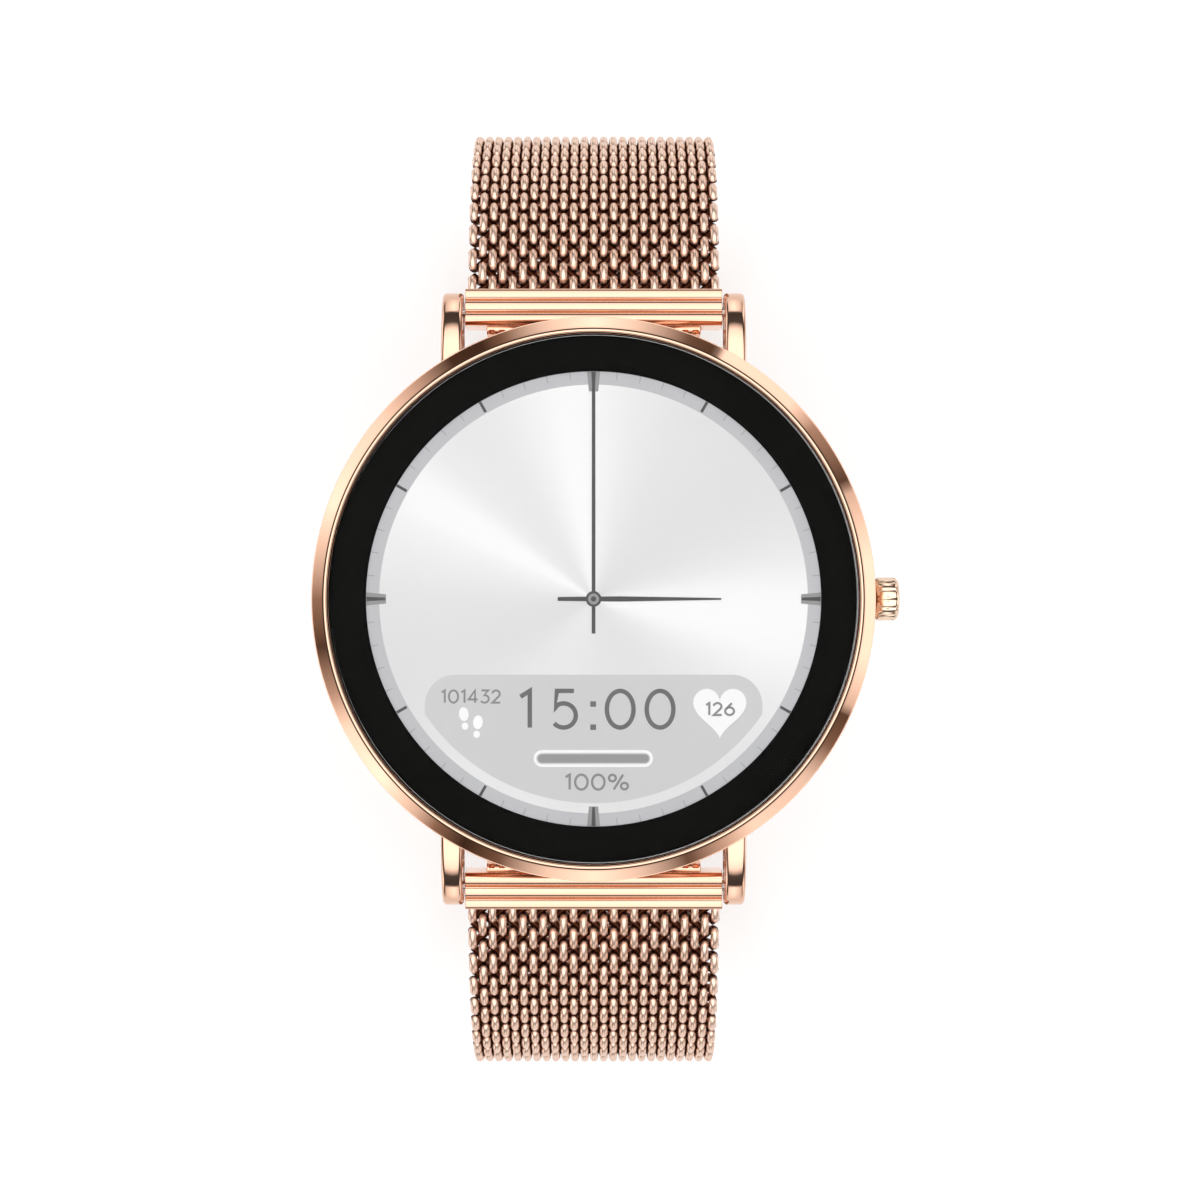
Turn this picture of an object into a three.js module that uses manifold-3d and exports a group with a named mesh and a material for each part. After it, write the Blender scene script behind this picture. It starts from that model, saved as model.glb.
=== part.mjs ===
// Round smartwatch with a woven-mesh bracelet, as an assembly of separate solids, in millimetres.
// Frame: +Z up out of the glass, +Y to 12 o'clock, +X to 3 o'clock and the crown. The origin is the
// middle of the sensor window's flat face, the point of the watch that rests on the wrist.
import * as THREE from "three";
import { mergeVertices } from "three/addons/utils/BufferGeometryUtils.js";
import Module from "manifold-3d";

const wasm = await Module();
wasm.setup();

// ---- driving dimensions -------------------------------------------------------------------------
const fit = 0.1; // gap between pieces that are pressed, glued or screwed together
const running = 0.15; // gap between pieces that move past each other
const ringSides = 64; // facets of the large round pieces
const smallSides = 20; // facets of pins, bores and screws

// head, from the wrist up
const sensorProud = 0.9; // how far the sensor window stands below the back cover
const coverThickness = 0.8;
const gasketThickness = 0.3;
const caseRadius = 20.0; // case wall between the lugs
const wallThickness = 1.4;
const ledgeWidth = 4.4; // floor inside the wall that the back cover screws to
const ledgeThickness = 1.0;
const seatHeight = 7.4; // top of the wall that the bezel stands on
const shelfHeight = 8.0; // top of the rim that carries the glass
const bezelOverhang = 1.45; // how far the bezel stands out past the case wall
const bezelLip = 0.28; // width of the polished lip beside the glass
const bezelEdgeHeight = 8.6; // where the bezel's slope starts
const glassThickness = 1.2;
const blackBorder = 2.8; // glass outside the lit area
const tapeThickness = 0.18;
const panelThickness = 1.0;
const bracketThickness = 0.5;
const boardThickness = 0.7;

// lugs and bracelet
const lugGap = 20.2;
const lugWidth = 1.6;
const barReach = 2.3; // from the case wall to the spring bar's axis
const barZ = 3.0;
const lugTipRadius = 1.5;
const barRadius = 0.75;
const barTipRadius = 0.4; // its bar needs at least 0.25 more
const barTipGrip = 0.75; // how far a bar tip enters its lug
const barTravel = 1.0; // how far the release knob draws its tip back
const linkTilt = 14; // degrees that the end link hangs below level
const linkHalfLength = 1.45;
const linkTop = 1.6; // ridges above the bar's axis
const linkBottom = 1.2; // underside below it
const ridgeRadius = 0.46; // of the three ridges on its top
const meshThickness = 1.4;
const meshJoints = 5; // places where each mesh half flexes
const upperBend = 18.8; // radius of the bracelet's shoulder
const lowerBend = 23.0; // radius of its lower corner
const wristHeight = 42.0; // clear height between the sensor window and the clasp side
const innerRunZ = -wristHeight - meshThickness / 2; // middle of the half that runs through the clasp
const outerRunZ = innerRunZ - meshThickness - 0.2; // middle of the half that hooks on from outside

// clasp
const claspBack = -9.0;
const claspFront = 7.0;
const claspTravel = 4.0;
const claspWall = 0.6;
const claspClear = 0.3; // between mesh and clasp sleeve
const coverPlate = 0.7;
const hookGap = 0.35; // between the hook and the crossbar that it takes

// crown
const crownZ = 4.6;
const crownRadius = 1.7;
const crownLength = 1.95;
const crownFlutes = 14;
const crownTravel = 0.5;
const stemRadius = 0.55;
const tubeRadius = 1.15;
const bossRadius = 1.6;

// ---- values worked out from the driving dimensions ----------------------------------------------
const coverBottom = sensorProud;
const coverTop = coverBottom + coverThickness;
const ledgeBottom = coverTop + gasketThickness + fit;
const ledgeTop = ledgeBottom + ledgeThickness;
const tapeBottom = shelfHeight + 0.06;
const glassBottom = tapeBottom + tapeThickness + 0.06;
const glassTop = glassBottom + glassThickness;
const panelTop = tapeBottom - 0.06;
const panelBottom = panelTop - panelThickness;
const bracketTop = panelBottom - fit;
const bracketBottom = bracketTop - bracketThickness;
const boardTop = bracketBottom - fit;
const boardBottom = boardTop - boardThickness;
const rad = Math.PI / 180;
const halfMesh = meshThickness / 2;
const bezelRadius = caseRadius + bezelOverhang;
const flareRadius = bezelRadius - fit; // case wall under the bezel
const glassRadius = caseRadius + fit;
const displayRadius = glassRadius - blackBorder; // lit area
const cavityRadius = caseRadius - wallThickness;
const ledgeRadius = cavityRadius - ledgeWidth;
const backRecessRadius = cavityRadius - 0.7;
const barY = caseRadius + barReach;
const crownStart = bezelRadius + 0.25;
const meshWidth = lugGap - 0.6;

// ---- making solids ------------------------------------------------------------------------------
// A closed geometry as a manifold-3d solid, turned right way out.
function solid(geometry) {
  const g = geometry.clone();
  g.deleteAttribute("normal");
  g.deleteAttribute("uv");
  const merged = mergeVertices(g, 1e-4);
  const triVerts = new Uint32Array(merged.index.array);
  const vertProperties = new Float32Array(merged.attributes.position.array);
  const p = vertProperties;
  let sum = 0;
  for (let i = 0; i < triVerts.length; i += 3) {
    const [a, b, c] = [triVerts[i] * 3, triVerts[i + 1] * 3, triVerts[i + 2] * 3];
    sum +=
      p[a] * (p[b + 1] * p[c + 2] - p[b + 2] * p[c + 1]) +
      p[a + 1] * (p[b + 2] * p[c] - p[b] * p[c + 2]) +
      p[a + 2] * (p[b] * p[c + 1] - p[b + 1] * p[c]);
  }
  if (sum < 0) {
    for (let i = 0; i < triVerts.length; i += 3)
      [triVerts[i + 1], triVerts[i + 2]] = [triVerts[i + 2], triVerts[i + 1]];
  }
  return new wasm.Manifold(new wasm.Mesh({ numProp: 3, vertProperties, triVerts }));
}

// A manifold-3d solid as a geometry.
function geometryOf(made) {
  const mesh = made.getMesh();
  const n = mesh.numProp;
  const position = new Float32Array(mesh.numVert * 3);
  for (let i = 0; i < mesh.numVert; i++)
    position.set(mesh.vertProperties.subarray(i * n, i * n + 3), i * 3);
  const g = new THREE.BufferGeometry();
  g.setAttribute("position", new THREE.BufferAttribute(position, 3));
  g.setIndex(new THREE.BufferAttribute(mesh.triVerts, 1));
  g.computeVertexNormals();
  return g;
}

// A profile of [radius, height] pairs spun round the Z axis. It closes on itself, or on the axis.
function spun(profile, sides = ringSides) {
  const points = profile.map(([r, h]) => new THREE.Vector2(r, h));
  const onAxis = profile[0][0] === 0 && profile[profile.length - 1][0] === 0;
  if (!onAxis) points.push(points[0].clone());
  return solid(new THREE.LatheGeometry(points, sides).rotateX(Math.PI / 2));
}

const disc = (radius, low, high, sides = ringSides) =>
  spun([[0, low], [radius, low], [radius, high], [0, high]], sides);

const ring = (inner, outer, low, high, sides = ringSides) =>
  spun([[inner, low], [outer, low], [outer, high], [inner, high]], sides);

// A cylinder along X from x0 to x1.
function rod(radius, x0, x1, y, z, sides = smallSides) {
  const g = new THREE.CylinderGeometry(radius, radius, x1 - x0, sides);
  g.rotateZ(Math.PI / 2).translate((x0 + x1) / 2, y, z);
  return solid(g);
}

// A cylinder along Z.
function post(radius, low, high, x, y, sides = smallSides) {
  const g = new THREE.CylinderGeometry(radius, radius, high - low, sides);
  g.rotateX(Math.PI / 2).translate(x, y, (low + high) / 2);
  return solid(g);
}

function block([x0, x1], [y0, y1], [z0, z1]) {
  const g = new THREE.BoxGeometry(x1 - x0, y1 - y0, z1 - z0);
  return solid(g.translate((x0 + x1) / 2, (y0 + y1) / 2, (z0 + z1) / 2));
}

// An outline of [y, z] pairs drawn out along X from x0 to x1.
function drawn(outline, x0, x1) {
  const shape = new THREE.Shape(outline.map(([y, z]) => new THREE.Vector2(y, z)));
  const g = new THREE.ExtrudeGeometry(shape, { depth: x1 - x0, bevelEnabled: false });
  const turn = new THREE.Matrix4().makeBasis(
    new THREE.Vector3(0, 1, 0),
    new THREE.Vector3(0, 0, 1),
    new THREE.Vector3(1, 0, 0),
  );
  return solid(g.applyMatrix4(turn).translate(x0, 0, 0));
}

// Points on an arc, from one angle to another in degrees.
function arc(cy, cz, radius, from, to, steps) {
  const points = [];
  for (let i = 0; i <= steps; i++) {
    const a = (from + ((to - from) * i) / steps) * rad;
    points.push([cy + radius * Math.cos(a), cz + radius * Math.sin(a)]);
  }
  return points;
}

const finish = {
  roseGold: { color: 0xe8b48f, roughness: 0.22, metalness: 1 },
  glass: { color: 0x111214, roughness: 0.05, metalness: 0 },
  display: { color: 0xe9e9ea, roughness: 0.3, metalness: 0 },
  black: { color: 0x141414, roughness: 0.6, metalness: 0 },
  steel: { color: 0xc4c6c8, roughness: 0.3, metalness: 1 },
  board: { color: 0x1d5a36, roughness: 0.5, metalness: 0.1 },
  cell: { color: 0xb9bcc0, roughness: 0.45, metalness: 0.6 },
  flex: { color: 0xb87a2d, roughness: 0.5, metalness: 0 },
  gold: { color: 0xd9b25c, roughness: 0.25, metalness: 1 },
};

const watch = new THREE.Group();

function add(name, made, look, parent = watch) {
  const material = new THREE.MeshStandardMaterial(finish[look]);
  const mesh = new THREE.Mesh(geometryOf(made), material);
  mesh.name = name;
  parent.add(mesh);
}

// ---- head: case, bezel, glass -------------------------------------------------------------------
// One lug in the YZ plane: its root is inside the case wall, its underside is round about the bar,
// and its back is a quarter of an ellipse that falls from under the bezel to the tip.
function lugOutline() {
  const root = caseRadius - 6;
  const long = 5.6;
  const high = seatHeight - 0.4 - barZ;
  const back = arc(0, 0, 1, 0, 90, 14).slice(1);
  const middle = barY + lugTipRadius - long;
  return [
    [root, barZ - lugTipRadius],
    ...arc(barY, barZ, lugTipRadius, -90, 0, 6),
    ...back.map(([u, v]) => [middle + long * u, barZ + high * v]),
    [root, barZ + high],
  ];
}

function caseBody() {
  const cove = seatHeight - 4.4;
  const flare = flareRadius - caseRadius;
  let made = spun([
    [0, coverBottom + 0.1],
    [caseRadius - 1.0, coverBottom + 0.1],
    [caseRadius - 0.25, coverBottom + 0.55],
    [caseRadius, coverBottom + 1.3],
    ...arc(0, 0, 1, 0, 75, 5).map(([u, v]) => [
      caseRadius + flare * (1 - u),
      seatHeight - cove * (1 - v),
    ]),
    [flareRadius, seatHeight - 0.08],
    [flareRadius, seatHeight],
    [glassRadius + fit, seatHeight],
    [glassRadius + fit, shelfHeight],
    [0, shelfHeight],
  ]);
  const right = drawn(lugOutline(), lugGap / 2, lugGap / 2 + lugWidth);
  const pair = right.add(right.mirror([1, 0, 0]));
  made = made.add(pair).add(pair.mirror([0, 1, 0]));
  made = made.add(rod(bossRadius, caseRadius - 1, crownStart - crownTravel - fit, 0, crownZ));
  const cavity = spun([
    [0, 0],
    [backRecessRadius, 0],
    [backRecessRadius, ledgeBottom],
    [ledgeRadius, ledgeBottom],
    [ledgeRadius, ledgeTop],
    [cavityRadius, ledgeTop],
    [cavityRadius, shelfHeight + 1],
    [0, shelfHeight + 1],
  ]);
  made = made.subtract(cavity);
  made = made.subtract(rod(tubeRadius + fit, cavityRadius - 2, crownStart, 0, crownZ));
  for (const side of [-1, 1]) {
    const deep = lugGap / 2 + barTipGrip + 0.25;
    const hole = rod(barTipRadius + fit, -deep, deep, side * barY, barZ, 12);
    made = made.subtract(hole);
  }
  for (const [x, y] of screwPlaces())
    made = made.subtract(post(screwRadius + fit, ledgeBottom - 1, ledgeTop + 1, x, y, 12));
  return made;
}

const bezelInner = glassRadius + fit;
function bezelRing() {
  return spun([
    [bezelInner, seatHeight + 0.05],
    [bezelRadius - 0.35, seatHeight + 0.05],
    [bezelRadius, seatHeight + 0.3],
    [bezelRadius, bezelEdgeHeight],
    [bezelInner + bezelLip, glassTop - 0.06],
    [bezelInner + 0.08, glassTop - 0.04],
    [bezelInner, glassTop - 0.12],
  ]);
}

function coverGlass() {
  return spun([
    [0, glassBottom],
    [glassRadius - 0.1, glassBottom],
    [glassRadius, glassBottom + 0.1],
    [glassRadius, glassTop - 0.25],
    [glassRadius - 0.12, glassTop - 0.08],
    [glassRadius - 0.4, glassTop],
    [0, glassTop],
  ]);
}

// ---- inside the case ----------------------------------------------------------------------------
const screwRadius = 0.6;
const screwCircle = backRecessRadius - 2.2;
function screwPlaces() {
  return [45, 135, 225, 315].map((a) => [
    screwCircle * Math.cos(a * rad),
    screwCircle * Math.sin(a * rad),
  ]);
}

const windowRadius = 6.4;
const flangeRadius = 7.6;
const chargePins = [-1.9, 1.9].map((x) => [x, -windowRadius - 4.2]);
const chargePinRadius = 0.9;

function backCover() {
  let made = spun([
    [windowRadius + fit, coverBottom],
    [backRecessRadius - fit - 0.3, coverBottom],
    [backRecessRadius - fit, coverBottom + 0.3],
    [backRecessRadius - fit, coverTop],
    [windowRadius + fit, coverTop],
  ]);
  for (const [x, y] of screwPlaces()) {
    made = made.subtract(post(screwRadius + fit, 0, 5, x, y, 12));
    made = made.subtract(post(screwHeadRadius + fit, 0, coverBottom + screwHead + 0.05, x, y, 16));
  }
  for (const [x, y] of chargePins) made = made.subtract(post(chargePinRadius + fit, 0, 5, x, y, 16));
  return made;
}

const screwHeadRadius = 1.1;
const screwHead = 0.35;
function caseScrew(x, y) {
  const top = ledgeTop - 0.1;
  const head = post(screwHeadRadius, coverBottom + 0.02, coverBottom + screwHead, x, y, 16);
  const shank = post(screwRadius, coverBottom + 0.1, top, x, y, 12);
  const slotHalf = 0.11;
  const across = block([x - 0.7, x + 0.7], [y - slotHalf, y + slotHalf], [0, coverBottom + 0.2]);
  const along = block([x - slotHalf, x + slotHalf], [y - 0.7, y + 0.7], [0, coverBottom + 0.2]);
  return head.add(shank).subtract(across).subtract(along);
}

function sensorWindow() {
  return spun([
    [0, 0],
    [4.5, 0],
    [5.6, 0.18],
    [windowRadius, 0.6],
    [windowRadius, coverTop + 0.05],
    [flangeRadius, coverTop + 0.05],
    [flangeRadius, coverTop + 0.5],
    [5.2, coverTop + 0.5],
    [5.2, 1.0],
    [0, 1.0],
  ], 40);
}

const sensorBoardBottom = coverTop + 0.6;
const sensorChip = () => block([-2.6, 2.6], [-1.5, 1.5], [1.1, sensorBoardBottom - 0.05]);
const sensorBoard = () => disc(7.0, sensorBoardBottom, sensorBoardBottom + 0.4, 32);

function chargePin(x, y) {
  const pin = post(chargePinRadius, coverBottom - 0.15, coverTop + 0.2, x, y, 16);
  return pin.add(post(chargePinRadius + 0.35, coverTop + 0.05, coverTop + 0.45, x, y, 16));
}

const backGasket = () =>
  ring(screwCircle + 1.0, backRecessRadius - 0.2, coverTop + 0.05, ledgeBottom - 0.05, 40);

// battery, motor and switch sit in pockets of the plastic inner frame
const battery = { x: [-0.55 * caseRadius, 0.45 * caseRadius], y: [-0.425 * caseRadius, 0.425 * caseRadius] };
const batteryCell = () => block(battery.x, battery.y, [ledgeTop + 0.1, boardBottom - 0.1]);
const motorPlace = [-1, 0.66 * caseRadius];
const motorRadius = 3.6;
const motorHeight = 1.8;
const vibrationMotor = () =>
  post(motorRadius, ledgeTop + 0.15, ledgeTop + 0.15 + motorHeight, ...motorPlace, 28);

const switchFace = cavityRadius - 3.3; // the side of the push switch that the plunger comes out of
const plungerRadius = 0.42;
const plungerTip = switchFace + 0.8;
function pushSwitch() {
  const body = block([switchFace - 2.4, switchFace], [-1.7, 1.7], [crownZ - 1.1, boardBottom - 0.02]);
  const deep = switchFace - crownTravel - 0.9;
  return body.subtract(rod(plungerRadius + fit, deep, switchFace + 1, 0, crownZ, 12));
}
const switchPlunger = () => rod(plungerRadius, switchFace - 0.35, plungerTip, 0, crownZ, 12);

function innerFrame() {
  let made = disc(cavityRadius - fit, ledgeTop + 0.05, boardBottom - 0.05, 48);
  const g = 0.2;
  const low = ledgeTop - 1;
  const high = boardBottom + 1;
  made = made.subtract(
    block([battery.x[0] - g, battery.x[1] + g], [battery.y[0] - g, battery.y[1] + g], [low, high]),
  );
  made = made.subtract(post(motorRadius + g, low, high, ...motorPlace, 28));
  made = made.subtract(block([switchFace - 2.4 - g, 30], [-1.7 - g, 1.7 + g], [low, high]));
  made = made.subtract(block([-40, 0.7 * -caseRadius], [-3, 3], [low, high]));
  return made;
}

const flexX = 1.7 - cavityRadius; // where the display's ribbon runs down at 9 o'clock
function mainBoard() {
  let made = disc(cavityRadius - 0.5, boardBottom, boardTop, 48);
  made = made.subtract(block([switchFace - 3.3, 40], [-2.4, 2.4], [boardBottom - 1, boardTop + 1]));
  return made.subtract(block([-40, flexX + 1.5], [-3, 3], [boardBottom - 1, boardTop + 1]));
}

function displayBracket() {
  const made = disc(cavityRadius - 0.2, bracketBottom, bracketTop, 48);
  return made.subtract(block([-40, flexX + 1.1], [-3, 3], [bracketBottom - 1, bracketTop + 1]));
}

function displayPanel() {
  const made = disc(displayRadius + 0.9, panelBottom, panelTop, 48);
  return made.subtract(block([-40, flexX + 0.5], [-4, 4], [panelBottom - 1, panelTop - 0.3]));
}

// the display's ribbon leaves its edge at 9 o'clock and turns down to the main board
function displayFlex() {
  const strip = 0.12;
  const x = flexX;
  const down = block([x - strip, x], [-2.2, 2.2], [boardBottom - 1.0, panelTop - 0.55]);
  return down.add(
    block([x - strip, x + 1.2], [-2.2, 2.2], [boardBottom - 1.0, boardBottom - 1.0 + strip]),
  );
}

const glassTape = () =>
  ring(displayRadius, glassRadius - 0.05, tapeBottom, tapeBottom + tapeThickness);

// ---- crown --------------------------------------------------------------------------------------
const tubeStart = cavityRadius - 0.8;
const bossEnd = crownStart - crownTravel - fit;
const sealPocket = 0.9;
function crownTube() {
  const tube = rod(tubeRadius, tubeStart, bossEnd, 0, crownZ);
  const bore = rod(stemRadius + 0.08, tubeStart - 1, bossEnd + 1, 0, crownZ);
  return tube.subtract(bore).subtract(rod(0.95, bossEnd - sealPocket, bossEnd + 1, 0, crownZ));
}

function crownSeal() {
  const seal = rod(0.9, bossEnd - sealPocket + 0.1, bossEnd - 0.15, 0, crownZ, 16);
  return seal.subtract(rod(stemRadius + 0.05, bossEnd - 2, bossEnd + 1, 0, crownZ, 16));
}

// The stem carries the crown and has a groove for the clip that stops it at the tube.
const clipThickness = 0.25;
const clipStart = tubeStart - clipThickness - fit;
const grooveRadius = 0.36;
function crownStem() {
  const stem = rod(stemRadius, plungerTip + 0.08, crownStart + 0.9, 0, crownZ, 16);
  const low = clipStart - 0.06;
  const high = clipStart + clipThickness + 0.06;
  const groove = rod(2, low, high, 0, crownZ, 16);
  return stem.subtract(groove.subtract(rod(grooveRadius, low - 1, high + 1, 0, crownZ, 16)));
}

function stemClip() {
  const clip = rod(1.15, clipStart, clipStart + clipThickness, 0, crownZ, 20);
  const bore = rod(grooveRadius + 0.06, clipStart - 1, clipStart + 1, 0, crownZ, 16);
  const mouth = block([clipStart - 1, clipStart + 1], [-0.3, 0.3], [crownZ, crownZ + 3]);
  return clip.subtract(bore).subtract(mouth);
}

// Fluted grip: its outline goes in and out once for each flute, and its outer edge is chamfered.
function crownCap() {
  const points = [];
  const steps = crownFlutes * 4;
  for (let i = 0; i < steps; i++) {
    const a = (i / steps) * 2 * Math.PI;
    const r = crownRadius - 0.09 + 0.09 * Math.cos(crownFlutes * a);
    points.push([r * Math.cos(a), crownZ + r * Math.sin(a)]);
  }
  const end = crownStart + crownLength;
  const grip = drawn(points, crownStart, end);
  const dome = spun([
    [0, crownStart - 1],
    [crownRadius + 0.1, crownStart - 1],
    [crownRadius + 0.1, end - 0.32],
    [crownRadius - 0.32, end - 0.08],
    [0, end],
  ], 28);
  const turned = dome.rotate([0, 90, 0]).translate([0, 0, crownZ]);
  const bore = rod(stemRadius + 0.06, crownStart - 1, crownStart + 1.0, 0, crownZ, 16);
  return grip.intersect(turned).subtract(bore);
}

// ---- bracelet path ------------------------------------------------------------------------------
// The middle of one mesh half in the YZ plane, on the 12 o'clock side, from the end link to the clasp.
// heading is the direction of travel below level, in degrees, from linkTilt to 180.
function meshPath(runZ) {
  const startY = barY + linkHalfLength * Math.cos(linkTilt * rad);
  const startZ = barZ - linkHalfLength * Math.sin(linkTilt * rad);
  const shoulderY = startY - upperBend * Math.sin(linkTilt * rad);
  const shoulderZ = startZ - upperBend * Math.cos(linkTilt * rad);
  const shoulder = (90 - linkTilt) * rad * upperBend;
  const straight = shoulderZ - (runZ + lowerBend);
  const cornerY = shoulderY + upperBend - lowerBend;
  const corner = 90 * rad * lowerBend;
  const at = (s) => {
    if (s <= shoulder) {
      const heading = linkTilt + s / upperBend / rad;
      const h = heading * rad;
      return [shoulderY + upperBend * Math.sin(h), shoulderZ + upperBend * Math.cos(h), heading];
    }
    if (s <= shoulder + straight) return [shoulderY + upperBend, shoulderZ - (s - shoulder), 90];
    const past = s - shoulder - straight;
    if (past <= corner) {
      const heading = 90 + past / lowerBend / rad;
      const h = heading * rad;
      return [cornerY + lowerBend * Math.sin(h), runZ + lowerBend + lowerBend * Math.cos(h), heading];
    }
    return [cornerY - (past - corner), runZ, 180];
  };
  const whereHeading = (heading) =>
    heading <= 90
      ? (heading - linkTilt) * rad * upperBend
      : shoulder + straight + (heading - 90) * rad * lowerBend;
  const whereRun = (y) => shoulder + straight + corner + (cornerY - y);
  return { at, whereHeading, whereRun };
}

const jointTurn = (180 - linkTilt) / meshJoints;
const jointHeadings = Array.from(
  { length: meshJoints },
  (_, i) => linkTilt + jointTurn * (i + 0.5),
);

// One stretch of mesh between two flex lines: a round nose on the first line, a square end short of
// the next, and both faces following the path.
function meshStretch(path, from, to, noseAtStart, noseGap) {
  const steps = Math.max(2, Math.round((to - from) / 2));
  const outer = [];
  const inner = [];
  const last = noseGap ? to - halfMesh - running : to;
  for (let i = 0; i <= steps; i++) {
    const [y, z, heading] = path.at(from + ((last - from) * i) / steps);
    const n = [Math.sin(heading * rad) * halfMesh, Math.cos(heading * rad) * halfMesh];
    outer.push([y + n[0], z + n[1]]);
    inner.unshift([y - n[0], z - n[1]]);
  }
  const outline = [...outer, ...inner];
  if (noseAtStart) {
    const [y, z, heading] = path.at(from);
    const nose = arc(y, z, halfMesh, -90 - heading, -270 - heading, 6).slice(1, -1);
    outline.push(...nose);
  }
  return outline;
}

// ---- bracelet half ------------------------------------------------------------------------------
// End link: three ridges on top, a bore for the bar and a slot for the mesh. Its knuckle on the case
// side is narrower. u runs along the bracelet, v out of it.
const linkWidth = lugGap - 2 * running;
const knuckleHalf = lugGap / 2 - 1.8;
const slotDepth = 0.35;
function linkFrame(u, v) {
  const t = linkTilt * rad;
  return [
    barY + u * Math.cos(t) + v * Math.sin(t),
    barZ - u * Math.sin(t) + v * Math.cos(t),
  ];
}

function endLink() {
  const pitch = linkHalfLength - ridgeRadius;
  const low = -linkBottom;
  const high = linkTop - ridgeRadius;
  const top = [-pitch, 0, pitch].flatMap((u) => arc(u, high, ridgeRadius, 180, 0, 6));
  const outline = [
    [linkHalfLength - 0.25, low],
    [linkHalfLength, low + 0.25],
    ...top.reverse(),
    [-linkHalfLength, low + 0.25],
    [-linkHalfLength + 0.25, low],
  ].map(([u, v]) => linkFrame(u, v));
  let made = drawn(outline, -linkWidth / 2, linkWidth / 2);
  const knuckle = [
    [-linkHalfLength - 0.45, -0.6],
    [-linkHalfLength - 0.45, 0.35],
    [-linkHalfLength - 0.2, 0.6],
    [0, 0.6],
    [0, -0.9],
    [-linkHalfLength - 0.2, -0.9],
  ].map(([u, v]) => linkFrame(u, v));
  made = made.add(drawn(knuckle, -knuckleHalf, knuckleHalf));
  made = made.subtract(rod(barRadius + fit, -20, 20, barY, barZ, 24));
  const slot = [
    [linkHalfLength - slotDepth, -halfMesh - fit],
    [linkHalfLength + 2, -halfMesh - fit],
    [linkHalfLength + 2, halfMesh + fit],
    [linkHalfLength - slotDepth, halfMesh + fit],
  ].map(([u, v]) => linkFrame(u, v));
  made = made.subtract(drawn(slot, -meshWidth / 2 - fit, meshWidth / 2 + fit));
  const window = [
    [-0.45, 0],
    [0.45, 0],
    [0.45, -4],
    [-0.45, -4],
  ].map(([u, v]) => linkFrame(u, v));
  return made.subtract(drawn(window, knobX - 0.45, knobX + barTravel + 0.45));
}

// Spring bar: a tube with a fixed tip at one end and a tip with a release knob at the other.
const barHalf = lugGap / 2 - 0.9;
const barBore = 0.5;
const knobX = 2.9 - lugGap / 2;
function barTube() {
  let made = rod(barRadius, -barHalf, barHalf, barY, barZ, 20);
  made = made.subtract(rod(barBore, -barHalf - 1, barHalf - 2.4, barY, barZ, 16));
  made = made.subtract(rod(barBore, barHalf - 1.9, barHalf + 1, barY, barZ, 16));
  const slot = [
    [-0.32, 0],
    [0.32, 0],
    [0.32, -4],
    [-0.32, -4],
  ].map(([u, v]) => linkFrame(u, v));
  return made.subtract(drawn(slot, knobX - 0.35, knobX + barTravel + 0.35));
}

const barTip = () =>
  rod(barTipRadius, barHalf - 1.8, lugGap / 2 + barTipGrip, barY, barZ, 16);

function releasePin() {
  const pin = rod(barTipRadius, -lugGap / 2 - barTipGrip, knobX + 0.6, barY, barZ, 16);
  const knob = [
    [-0.24, 0],
    [0.24, 0],
    [0.24, -1.75],
    [-0.24, -1.75],
  ].map(([u, v]) => linkFrame(u, v));
  return pin.add(drawn(knob, knobX - 0.25, knobX + 0.25));
}

const mirrored = (made, side) => (side < 0 ? made.mirror([0, 1, 0]) : made);

function braceletHalf(side, label, runZ, endY) {
  const half = new THREE.Group();
  watch.add(half);
  const path = meshPath(runZ);
  const put = (name, made, look) => add(name + "_" + label, mirrored(made, side), look, half);
  put("end_link", endLink(), "roseGold");
  put("bar_tube", barTube(), "steel");
  put("bar_tip", barTip(), "steel");
  put("release_pin", releasePin(), "steel");
  const cuts = [-slotDepth + fit, ...jointHeadings.map(path.whereHeading), path.whereRun(endY)];
  for (let i = 0; i <= meshJoints; i++) {
    const outline = meshStretch(path, cuts[i], cuts[i + 1], i > 0, i < meshJoints);
    const made = drawn(outline, -meshWidth / 2, meshWidth / 2);
    add("mesh_" + label + "_" + i, mirrored(made, side), "roseGold", half);
  }
}

// ---- clasp --------------------------------------------------------------------------------------
// The inner half runs through the clasp's sleeve. Its outer plate carries the hook, and the cover
// turns on a pin at its back. The lever in its wrist plate clamps the mesh.
const sleeveHalf = meshWidth / 2 + claspClear;
const sleeveInside = halfMesh + claspClear;
const plateTop = innerRunZ + sleeveInside + claspWall;
const plateBottom = innerRunZ - sleeveInside - claspWall;
const hookLength = 1.0;
const hookDepth = 0.55;
const coverTopZ = plateBottom - hookDepth - 0.2;
const coverFront = claspFront + hookLength;
const coverPinY = claspBack + 0.9;
const coverPinZ = plateBottom - 0.3;
const coverPinRadius = 0.45;
const knuckleRadius = 0.8;
const leverPinY = claspBack + 2.6;
const leverPinZ = innerRunZ + sleeveInside + 0.62;
const leverPinRadius = 0.35;
const leverBarrel = 0.62;
const leverHalf = 0.3 * lugGap;
const leverFront = claspFront - 3.0;

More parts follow.
